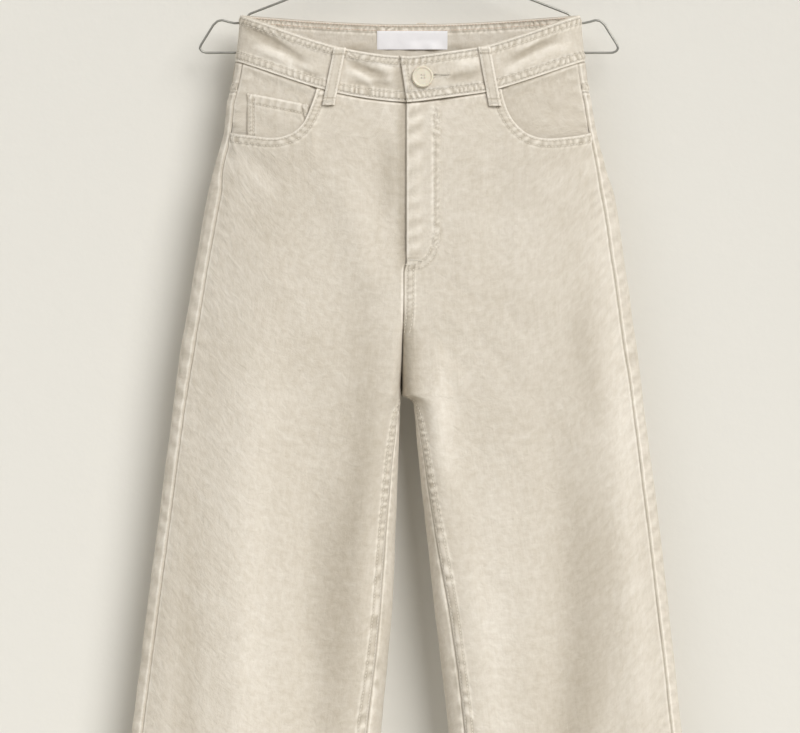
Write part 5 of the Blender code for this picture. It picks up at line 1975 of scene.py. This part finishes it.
@dataclass
class BackPocket(SidePiece):
    """A five-sided patch pocket on a back panel."""

    def build(self) -> None:
        """Builds the pocket and its stitches."""
        side, name = self.side, "back_pocket_" + self.side.value
        outer_q, inner_q, top, low, point = 158.0, 20.0, 286.0, 430.0, 20.0
        middle = (outer_q + inner_q) / 2
        half = graded(0, 0.5, (0.9 / 138, 2.2 / 138), 2.6 / 138, 11 / 138)
        across = np.concatenate([half, 1 - half[-2::-1]])
        down = graded(0, 1, (0.9 / 150, 0.9 / 150), 2.8 / 150, 13 / 150)[:, None]
        q = outer_q + (inner_q - outer_q) * across
        q = q + (middle - q) / (outer_q - middle) * 8.0 * down
        foot = low + point * (1 - np.abs(2 * across - 1))
        cloth = Cloth(side is LEFT, False, top + (foot - top) * down, q, LAP_GAP + WALL)
        cloth.crease(CREASES)
        cloth.crumple(18, 0.22, self.pick(51, 54))
        cloth.seam(POCKET_TOP, cloth.down, cloth.across)
        for distance in (cloth.across, cloth.from_far, cloth.from_foot):
            cloth.seam(POCKET_EDGE, distance, cloth.down + cloth.across)
        sewn = [cloth.across_row(d) for d in POCKET_TOP.rows]
        for d in POCKET_EDGE.rows:
            sewn += [cloth.down_row(d), cloth.down_row(d, far=True)]
            sewn.append(cloth.across_row(d, foot=True))
        self.tailor.make(name, cloth, "back_" + side.value, sewn, seed=11)


@dataclass
class Waistband:
    """One strip right round, with the wearer's left end on top at the centre front."""

    tailor: Tailor
    front_end: int = field(init=False)

    def halfway(self, side: Side, nominal: Array) -> list[tuple[Side, bool, Array]]:
        """Returns the places (side, on the front, q) round the hip to the middle of the back."""
        to_fold, past_fold = np.linspace(46, 0, 25)[1:][None], np.linspace(0, 48, 13)[1:][None]
        back_from = FORM.fold_q(side, False, nominal, 48)
        return [
            (side, True, FORM.fold_q(side, True, nominal, to_fold)),
            (side, False, FORM.fold_q(side, False, nominal, past_fold)),
            (side, False, back_from * np.linspace(1, 0, 74)[1:][None]),
        ]

    def lay_out(self) -> Cloth:
        """Lays the strip from its end on top, round the back, to its end below."""
        across = (graded(0, BAND_HEIGHT, (0.9, 0.9), 1.7, 11) / BAND_HEIGHT)[:, None]
        nominal = BAND_TOP + across * BAND_HEIGHT
        end_q = END_TOP + END_LEAN * across
        share = graded(0, 1, (0.9 / 140, 2.2 / 140), 2.2 / 140, 16 / 140)
        fold_from = {side: FORM.fold_q(side, True, nominal, 46) for side in Side}
        parts = [(LEFT, True, end_q + (fold_from[LEFT] - end_q) * share)]
        parts += self.halfway(LEFT, nominal)
        back_again = [(side, on, q[:, ::-1]) for side, on, q in self.halfway(RIGHT, nominal)[::-1]]
        back_again[0] = (RIGHT, False, back_again[0][2][:, 1:])
        parts += back_again
        parts.append((RIGHT, True, fold_from[RIGHT] * np.linspace(1, 0, 63)[None]))
        parts.append((LEFT, True, np.linspace(0, 32, 18)[1:][None] + 0 * nominal))

        def spread(flags: list[bool]) -> Array:
            """Returns each part's flag at all of its points."""
            shapes = [(len(across), q.shape[1]) for _, _, q in parts]
            grids = [np.full(shape, flag) for shape, flag in zip(shapes, flags)]
            return np.concatenate(grids, axis=1)

        left = spread([side is LEFT for side, _, _ in parts])
        front = spread([on for _, on, _ in parts])
        q = np.concatenate([q + 0 * nominal for _, _, q in parts], axis=1)
        self.front_end = parts[0][2].shape[1]
        drop = np.zeros(q.shape)
        for side in Side:
            for face in Face:
                here = (left == (side is LEFT)) & (front == (face is FRONT))
                edge = FORM.band_edge(side, face, q, across)
                drop[here] = edge[here]
        lift = np.full(q.shape, BAND_PROUD)
        on_top = np.arange(q.shape[1])[None] < self.front_end
        lift = lift + np.where(on_top, (BAND_WALL + SEAM_GAP) * ramp(q, 64, 34), 0)
        return Cloth(left, front, drop, q, lift, BAND_WALL)

    def build(self) -> None:
        """Builds the band, its stitches and its buttonhole."""
        cloth = self.lay_out()
        on_top = np.arange(cloth.q.shape[1])[None] < self.front_end
        from_top = cloth.down
        creases = crease_relief(BAND_CREASES, cloth.left, cloth.front, from_top, cloth.q)
        cloth.relief += creases
        # painted shade in the creases' troughs and painted light on their ridges
        cloth.wear_and_painted_light += 0.75 * np.clip(creases, -1.8, 0.8)
        # painted shade on the band beside the end that lies on top, darkest next to it
        end_q = -END_TOP - END_LEAN * from_top / BAND_HEIGHT
        past = np.where(on_top | cloth.left | ~cloth.front, 99, cloth.q - end_q)
        cloth.wear_and_painted_light -= (1.5 * ramp(past, 13, 1) + 1.6 * ramp(past, 2.4, 0.8)) * ramp(from_top, 4, 22)
        cloth.crumple(21, 0.24, 61)
        cloth.crumple(9, 0.1, 62)
        cloth.seam(BAND_UPPER, from_top, cloth.across)
        cloth.seam(BAND_LOWER, cloth.from_foot, cloth.across)
        cloth.seam(BAND_END, cloth.across, cloth.down, ramp(cloth.across, 26, 12))
        x, below = cloth.q - HOLE_Q, cloth.drop - HOLE_DROP
        slit = np.hypot(np.maximum(np.maximum(-x, x - HOLE_LENGTH), 0), below)
        keyhole = np.hypot(x + 0.4, below)
        dent = -1.5 * bell(slit, 0.75) - 1.6 * bell(keyhole, 1.7) + 0.5 * bell(slit - 2.1, 1.0)
        cloth.relief += np.where(on_top, dent, 0)
        # painted shade in the buttonhole's slit and eye
        cloth.wear_and_painted_light += np.where(on_top, -1.4 * bell(slit, 0.8) - 1.3 * bell(keyhole, 1.5), 0)
        length = float(cloth.across[0, -1])
        reach = dict(start=1.5, end=length - 20)
        rows = [cloth.across_row(d, **reach) for d in BAND_UPPER.rows]
        rows += [cloth.across_row(d, foot=True, **reach) for d in BAND_LOWER.rows]
        rows += [cloth.down_row(d, start=2.0, end=BAND_HEIGHT - 2) for d in BAND_END.rows]
        inside = cloth.flipped()
        half = length / 2
        inner = [inside.across_row(d, start=half - 175, end=half + 175) for d in (1.9, 6.4)]
        how = dict(tan=True, seed=14, pitch=2.9, length=2.1)
        within = self.tailor.stitch("waistband_inner_stitches", inner, **how)
        stitches = self.tailor.stitch("waistband_stitches", rows, seed=13)
        pieces = [stitches, within, self.buttonhole(cloth)]
        name, hangs_on = "waistband_cloth", ["hanger_frame"]
        self.tailor.cut(name, cloth, ["waistband"], hangs_on, with_pieces=pieces)

    def buttonhole(self, cloth: Cloth) -> Object:
        """Sews the close stitches round the buttonhole."""
        x = np.linspace(26.8, 38.2, 40)
        upper, lower = (np.stack([x, np.full(40, HOLE_DROP + out)], -1) for out in (-1.5, 1.5))
        angles = np.linspace(math.pi * 0.5, math.pi * 1.5, 26)
        eye = np.stack([24.6 + 2.6 * np.cos(angles), HOLE_DROP - 2.4 * np.sin(angles)], -1)
        path = np.concatenate([upper[::-1], eye, lower])
        grids = (cloth.left, cloth.front, cloth.drop, cloth.q, cloth.lift, cloth.relief)
        *grids, relief = (grid[:, : self.front_end] for grid in grids)
        front = Cloth(*grids, BAND_WALL)
        front.relief = relief
        rows = [front.path_row(path), front.path_row(bartack(38.6, HOLE_DROP, 90, 3.2))]
        how = {**TACKED, "pitch": 0.62, "length": 2.3}
        return self.tailor.stitch("buttonhole_stitches", rows, **how)


@dataclass
class BeltLoop:
    """A folded strip of denim, sewn down at both ends."""

    loop: Loop
    tailor: Tailor

    def front_line(self) -> Array:
        """Returns the middle line (y, drop) of a front loop, with a slight bow over the band."""
        loop, line = self.loop, []
        for share in np.linspace(0, 1, 13):
            drop = loop.top + (loop.foot - loop.top) * share
            q = loop.q_top + (loop.q_foot - loop.q_top) * share
            lift = 3.3 * float(ramp(q, 64, 34)) if loop.side is LEFT else 0.0
            out = BAND_PROUD + 0.6 + LOOP_WALL / 2 + 0.9 * math.sin(math.pi * share) + lift
            line.append((float(FORM.point(loop.side is LEFT, True, drop, q, out)[1]), drop))
        return np.array(line)

    def back_line(self) -> Array:
        """Returns the middle line of a back loop, which goes round the hanger's wire."""
        loop = self.loop
        behind = WIRE / 2 + SEAM_GAP + LOOP_WALL / 2
        q_edge = (loop.q_top + loop.q_foot) / 2 - loop.width / 2
        left = loop.side is LEFT
        top = loop.top + LOOP_WALL / 2 - (1.0 if loop.name == "belt_loop_back" else 0.0)
        q_root = q_edge - loop.width / 4
        root = float(FORM.point(left, False, loop.top, q_root, BAND_PROUD + SEAM_GAP)[1])
        line = [(root, top), (behind - 2.6, top), (behind - 0.7, top + 0.7), (behind, top + 2.6)]
        line += [(behind, BAR_DROP), (behind, BAR_DROP + WIRE)]
        for share in (0.5, 1):
            drop = BAR_DROP + WIRE + (loop.foot - BAR_DROP - WIRE) * share
            y = float(FORM.point(left, False, drop, q_edge, BAND_PROUD + 0.6 + LOOP_WALL / 2)[1])
            line.append((behind + (y - behind) * share, drop))
        return np.array(line)

    def build(self) -> None:
        """Builds the loop and its stitches."""
        loop = self.loop
        line = self.front_line() if loop.face is FRONT else self.back_line()
        line = rounded(line, 1.2)
        arcs = run_of(line)
        length = arcs[-1]
        places = graded(0, length, (0.7, 0.6), 1.2, 9)
        y, drop = (np.interp(places, arcs, line[:, axis]) for axis in (0, 1))
        ways = unit(np.gradient(np.stack([y, drop], -1), axis=0))
        normals = np.stack([ways[:, 1], -ways[:, 0]], -1) * loop.face.sign
        down = np.clip((drop - loop.top) / (loop.foot - loop.top), 0, 1)
        middle = loop.q_top + (loop.q_foot - loop.q_top) * down
        across = np.linspace(-0.5, 0.5, 17)[None] * loop.width
        along = places[:, None] + 0 * across
        seed = 70 + int(loop.width) + int(loop.q_top)
        from_edge = loop.width / 2 - np.abs(across) + 0 * along
        from_end = np.minimum(length - along, along if loop.face is FRONT else length)
        ridge = -0.22 * bell(from_edge - 2.6, 0.7)
        fold = 0.75 * ramp(from_end, 7.2, 5.6) - 0.5 * bell(from_end - 6.4, 0.8)
        waves = 0.35 * WAVES(along / 6.5 + seed, across / 7)
        waves = waves + 0.18 * WAVES(along / 2.6, across / 3 + seed)
        relief = ridge + fold + waves - 0.9 * bell(from_edge, 0.9) - 0.6 * bell(from_end, 0.8)
        # painted light and shade: highlights beside each edge and at the ends, shade along the
        # stitch line and across the folded end
        wear_and_painted_light = 0.9 * bell(from_edge - 1.0, 0.8) - 0.7 * bell(from_edge - 2.6, 0.6)
        wear_and_painted_light = wear_and_painted_light - 1.1 * bell(from_end - 6.8, 0.9) + 0.9 * bell(from_end - 1.2, 1.2)
        x = loop.side.sign * (middle[:, None] + across)
        outs = (LOOP_WALL / 2 + relief, -LOOP_WALL / 2 + 0.25 * relief)
        ys = (y[:, None] + normals[:, :1] * out for out in outs)
        drops = (drop[:, None] + normals[:, 1:] * out for out in outs)
        outer, inner = (np.stack([x, at_y, -at], -1) for at_y, at in zip(ys, drops))
        name = loop.name + "_cloth"
        mesh = shell_mesh(name, outer, inner, None, wear_and_painted_light)
        ups = np.stack([0 * y, normals[:, 0], -normals[:, 1]], -1)
        rows = [StitchRow(outer[3:-3, j], ups[3:-3]) for j in (3, 13)]
        stitches = self.tailor.stitch(loop.name + "_stitches", rows, seed=15)
        ends = [len(places) - 1 - int(np.searchsorted(places, 3.4))]
        if loop.face is FRONT:
            ends.append(int(np.searchsorted(places, 3.4)))
        tacks = [StitchRow(outer[k, 2:-2], np.tile(ups[k], (13, 1))) for k in ends]
        packed = self.tailor.stitch(loop.name + "_bartacks", tacks, pitch=0.55, **TACKED)
        folded = max(10.0, loop.width + LOOP_WALL)  # half of the way round the folded strip
        flat = (round(folded * MM, 4), round(float(length) * MM, 4))
        sizes = (flat, round(flat[0] * flat[1], 6))
        self.tailor.join(mesh, sizes, [loop.name], ["waistband"], with_pieces=[stitches, packed])


@dataclass
class LabelPatch:
    """A bare woven patch inside the back of the waistband."""

    tailor: Tailor

    def build(self) -> None:
        """Builds the patch, whose lower edge has come away a little."""
        x = np.linspace(-31.8, 38.4, 90)[None]
        down = np.linspace(0, 1, 26)[:, None]
        drop = 165.0 + 18.3 * down + 0 * x
        left = x + 0 * drop > 0
        lift = BAND_PROUD - BAND_WALL - 0.35
        cloth = Cloth(left, False, drop, np.abs(x) + 0 * drop, lift, 0.6)
        loose = ramp(down, 0.45, 1.0)
        curl = 1.5 * bell(x - 4, 9) + 2.2 * bell(x - 24, 7) + 0.5 * bell(x + 20, 8)
        cloth.relief -= loose * curl + 0.25 * bell(drop - 165, 1.0) * -1
        cloth.relief += 0.12 * WAVES(x / 7, drop / 6)
        # painted shade along the label's side edge and under its lower edge
        cloth.wear_and_painted_light -= 1.2 * bell(x + 30.6, 0.5) + 0.5 * bell(cloth.from_foot, 0.6)
        finish = dict(material=self.tailor.finishes.label, slot="label")
        self.tailor.cut("label_cloth", cloth, ["label"], ["waistband"], **finish)


def rounded(points: Array, step: float, closed: bool = False) -> Array:
    """Returns a line of points with short steps and softly cut corners."""
    points = np.array(points, float)
    if closed:
        points = np.vstack([points, points[:1]])
    dense = [points[0]]
    for a, b in zip(points[:-1], points[1:]):
        count = max(1, math.ceil(float(np.linalg.norm(b - a)) / step))
        dense += [a + (b - a) * k / count for k in range(1, count + 1)]
    line = np.array(dense[:-1] if closed else dense)
    for _ in range(3):
        after = np.roll(line, -1, axis=0)
        cut = np.stack([0.75 * line + 0.25 * after, 0.25 * line + 0.75 * after], 1)
        cut = cut.reshape(-1, line.shape[1])
        line = cut if closed else np.vstack([line[:1], cut[1:-3], line[-1:]])
    return line


@dataclass
class ShirtButton:
    """A four-hole button with a raised rim, and the thread that holds it."""

    tailor: Tailor

    def seat(self, points: Array) -> Array:
        """Moves points of the button, made face up about its own axis, onto the waistband."""
        lift = BAND_PROUD + BAND_WALL + 0.7
        drops = [BUTTON_DROP + step for step in (-BUTTON_RADIUS, 0, BUTTON_RADIUS)]
        places = [FORM.point(True, True, drop, BUTTON_X, lift) for drop in drops]
        lean = math.atan2(places[0][1] - places[2][1], 2 * BUTTON_RADIUS)
        turn = math.pi / 2 - lean
        y = points[..., 1] * math.cos(turn) - points[..., 2] * math.sin(turn)
        z = points[..., 1] * math.sin(turn) + points[..., 2] * math.cos(turn)
        return np.stack([points[..., 0], y, z], -1) + places[1]

    def face_height(self, x: Array, y: Array) -> Array:
        """Returns the height of the button's face: its rim, its dished middle and its holes."""
        radius = np.hypot(x, y)
        rim = BUTTON_THICK - 0.9 * ramp(radius, 9.2, 7.6)
        edge = -1.1 * ramp(radius, 9.3, 10.5) ** 2
        dish = 0.25 * ramp(radius, 3.2, 0.5)
        spots = [(a, b) for a in (-HOLE_OUT, HOLE_OUT) for b in (-HOLE_OUT, HOLE_OUT)]
        hole = sum(bell(np.hypot(x - a, y - b), 0.72) ** 2 for a, b in spots)
        return rim + edge - dish - 1.7 * np.clip(hole * 1.6, 0, 1)

    def build(self) -> None:
        """Builds the button and its thread."""
        steps = 96
        angle = circle(steps)
        rings = []
        for radius in np.concatenate([np.linspace(0.12, 3.4, 22), np.linspace(3.7, 10.5, 28)]):
            x, y = radius * np.cos(angle), radius * np.sin(angle)
            rings.append(np.stack([x, y, self.face_height(x, y)], -1))
        for height in (1.8, 1.0, 0.4, 0.0):
            radius = BUTTON_RADIUS if height > 0.5 else 9.9
            x, y = radius * np.cos(angle), radius * np.sin(angle)
            rings.append(np.stack([x, y, 0 * x + height], -1))
        points = np.concatenate([*rings, [[0, 0, self.face_height(0, 0)], [0, 0, 0]]])
        faces, top = ring_faces(len(rings), steps), len(rings) * steps
        for j in range(steps):
            k = (j + 1) % steps
            faces += [(top, j, k), (top + 1, top - steps + k, top - steps + j)]
        mesh = solid_mesh("button_face", self.seat(points), faces)
        obj = new_object("button_face", mesh, self.tailor.finishes.button)
        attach(obj, "root")
        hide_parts("button")
        self.thread()

    def thread(self) -> None:
        """Sews the threads from hole to hole."""
        rows = []
        up = self.seat(np.array([[0, 0, 1.0]])) - self.seat(np.array([[0, 0, 0.0]]))
        across = np.linspace(-0.15, 1.15, 9)[:, None]
        height = 2.3 + 0.35 * np.sin(math.pi * np.clip(across, 0, 1))
        height = height - 0.9 * (np.abs(across - 0.5) > 0.5)
        for shift in (-0.36, 0, 0.36):
            for y in (HOLE_OUT, -HOLE_OUT):
                start, end = np.array((-HOLE_OUT, y)), np.array((HOLE_OUT, y))
                line = start + (end - start) * across
                local = np.concatenate([line + [[0, shift]], height], axis=1)
                rows.append(StitchRow(self.seat(local), np.tile(up, (9, 1))))
        self.tailor.stitch("button_thread", rows, pitch=0.5, length=0.9, thickness=0.5)


@dataclass
class Hanger:
    """The wire hanger: its frame, its hook and the collar that joins them."""

    finishes: Finishes

    def wire(self, name: str, line: Array, closed: bool, radius: float = 1.15) -> None:
        """Bends a wire along a line of points (x, drop), with rounded ends unless it is closed."""
        sides = 16
        points = np.stack([line[:, 0], 0 * line[:, 0], -line[:, 1]], -1)
        if closed:
            ways = np.roll(points, -1, axis=0) - np.roll(points, 1, axis=0)
        else:
            ways = np.gradient(points, axis=0)
        ways = unit(ways)
        flat = np.cross(ways, [0, 1.0, 0])
        angle = circle(sides)
        radii, centres = np.full(len(points), radius), points
        if not closed:
            lean = np.radians([90, 60, 30])
            start = points[0] - ways[0] * (radius * np.sin(lean))[:, None]
            end = points[-1] + ways[-1] * (radius * np.sin(lean[::-1]))[:, None]
            centres = np.concatenate([start, points, end])
            ends = radius * np.cos(lean) + 0.01
            radii = np.concatenate([ends, radii, ends[::-1]])
            flat = np.concatenate([np.tile(flat[0], (3, 1)), flat, np.tile(flat[-1], (3, 1))])
        ring = flat[:, None] * np.cos(angle)[None, :, None]
        ring = ring + np.array([0, 1.0, 0]) * np.sin(angle)[None, :, None]
        grid = centres[:, None] + ring * radii[:, None, None]
        rows = len(grid)
        faces = ring_faces(rows, sides, closed)
        if not closed:
            last = rows * sides - 1
            faces += [tuple(range(sides)), tuple(range(last, last - sides, -1))]
        self.join(name, grid, faces)

    def join(self, name: str, points: Array, faces: list[tuple[int, ...]]) -> None:
        """Makes a part of points and faces, and joins it to the frame."""
        mesh = solid_mesh(name, points.reshape(-1, 3), faces)
        obj = new_object(name + "_wire", mesh, self.finishes.wire)
        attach(obj, "root")
        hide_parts(name)

    def build(self) -> None:
        """Builds the three parts."""
        half = [*HANGER_SHOULDER[1:], *HANGER_END]
        ring = [(0, SHOULDER_TOP), *half, *[(-x, drop) for x, drop in reversed(half)]]
        self.wire("hanger_frame", rounded(ring, 2.5, closed=True)[::3], True)
        tilt = math.radians(40)
        middle = 20  # of the hook's round, below the origin
        join = (-HOOK_RADIUS * math.cos(tilt), middle + HOOK_RADIUS * math.sin(tilt))
        neck = join[1] + 20
        line = [(0, SHOULDER_TOP - WIRE / 2 - SEAM_GAP - 0.3), (0, neck + 6), (0, neck)]
        line += [(join[0] * share, join[1] + below) for share, below in ((0.32, 8.5), (0.72, 4.2))]
        for step in range(23):
            angle = math.pi + tilt - step * math.radians(10.5)
            line.append((HOOK_RADIUS * math.cos(angle), middle - HOOK_RADIUS * math.sin(angle)))
        self.wire("hanger_hook", rounded(line, 2.0), False)
        self.collar()

    def collar(self) -> None:
        """Builds the crimped sleeve round the neck."""
        steps, foot, wide, tall = 48, SHOULDER_TOP - WIRE / 2 - SEAM_GAP, 3.75, 10.8
        profile = [(1.8, 0.0), (3.2, 0.0), (3.55, 0.15), (wide, 0.6)]
        for t in np.linspace(0, 1, 24)[1:-1]:
            profile.append((wide - 0.35 * math.sin(math.pi * t) ** 8, 0.6 + tall * t))
        profile += [(wide, 11.4), (3.55, 11.85), (3.2, 12.0), (1.8, 12.0)]
        angle = circle(steps)
        rings = [[(r * math.cos(a), r * math.sin(a), h) for a in angle] for r, h in profile]
        rings = np.array(rings)
        rings[..., 2] -= foot
        self.join("hanger_collar", rings, ring_faces(len(profile), steps, True))


# ---------------------------------------------------------------- stage


@dataclass
class Studio:
    """A pale wall close behind the jeans, a pale floor, soft light, and the photo's camera."""

    def plane(self, name: str, corners: Sequence[Triple], material: Material) -> None:
        """Adds one flat surface of the stage."""
        mesh = bpy.data.meshes.new(name)
        mesh.from_pydata(list(corners), [], [(0, 1, 2, 3)])
        new_object(name, mesh, material)

    def light(self, name: str, way: Triple, spread: float, power: float) -> None:
        """Adds a large soft light, far off in a direction, that looks this many degrees wide."""
        data = bpy.data.lights.new(name, "SUN")
        data.angle, data.energy, data.color = math.radians(spread), power, (1.0, 0.992, 0.98)
        lamp = bpy.data.objects.new(name, data)
        lamp.rotation_euler = Vector(way).to_track_quat("Z", "Y").to_euler()
        bpy.context.scene.collection.objects.link(lamp)

    def build(self) -> None:
        """Builds the stage."""
        wall = Plaster("pale_wall", (0.795, 0.777, 0.726), see_through_back=True).material()
        floor = Plaster("pale_floor", (0.72, 0.705, 0.66)).material()
        back, low = 0.038, -1.7
        reach, high = 5, 4
        sides = (-reach, reach)
        corners = [(x, back, z) for z, row in ((low, sides), (high, sides[::-1])) for x in row]
        self.plane("wall", corners, wall)
        corners = [(x, y, low) for y, row in ((-reach, sides), (reach, sides[::-1])) for x in row]
        self.plane("floor", corners, floor)
        self.light("key_light", (0.44, -0.745, 0.5), 36, 2.6)
        self.light("fill_light", (-0.527, -0.628, 0.574), 50, 0.68)
        self.light("back_light", (-0.45, 0.7, 0.55), 30, 0.5)
        world = bpy.data.worlds.new("pale_room")
        world.use_nodes = True
        world.node_tree.nodes["Background"].inputs["Color"].default_value = (0.86, 0.86, 0.85, 1)
        world.node_tree.nodes["Background"].inputs["Strength"].default_value = 0.08
        bpy.context.scene.world = world
        bpy.context.scene.view_settings.view_transform = "Standard"
        data = bpy.data.cameras.new("camera")
        data.lens, data.sensor_width = 413.3, 36.0
        data.clip_start, data.clip_end = 0.1, 100
        camera = bpy.data.objects.new("camera", data)
        camera.location = (-0.00882, -9.02, -0.4944)
        camera.rotation_euler = (math.pi / 2, 0, 0)
        bpy.context.scene.collection.objects.link(camera)
        bpy.context.scene.camera = camera


def main() -> None:
    """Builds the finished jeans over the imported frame."""
    logging.basicConfig(level=logging.INFO, format="%(message)s")
    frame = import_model()
    LOG.info("frame with %d nodes", len(frame["nodes"]))
    finishes = Finishes()
    tailor = Tailor(finishes)
    for side in Side:
        FrontPanel(side, tailor).build()
        BackPanel(side, tailor).build()
        Yoke(side, tailor).build()
        PocketFacing(side, tailor).build()
        BackPocket(side, tailor).build()
    CoinPocket(tailor).build()
    Waistband(tailor).build()
    for loop in FRONT_LOOPS + BACK_LOOPS:
        BeltLoop(loop, tailor).build()
    LabelPatch(tailor).build()
    ShirtButton(tailor).build()
    Hanger(finishes).build()
    Studio().build()


if __name__ == "__main__":
    main()
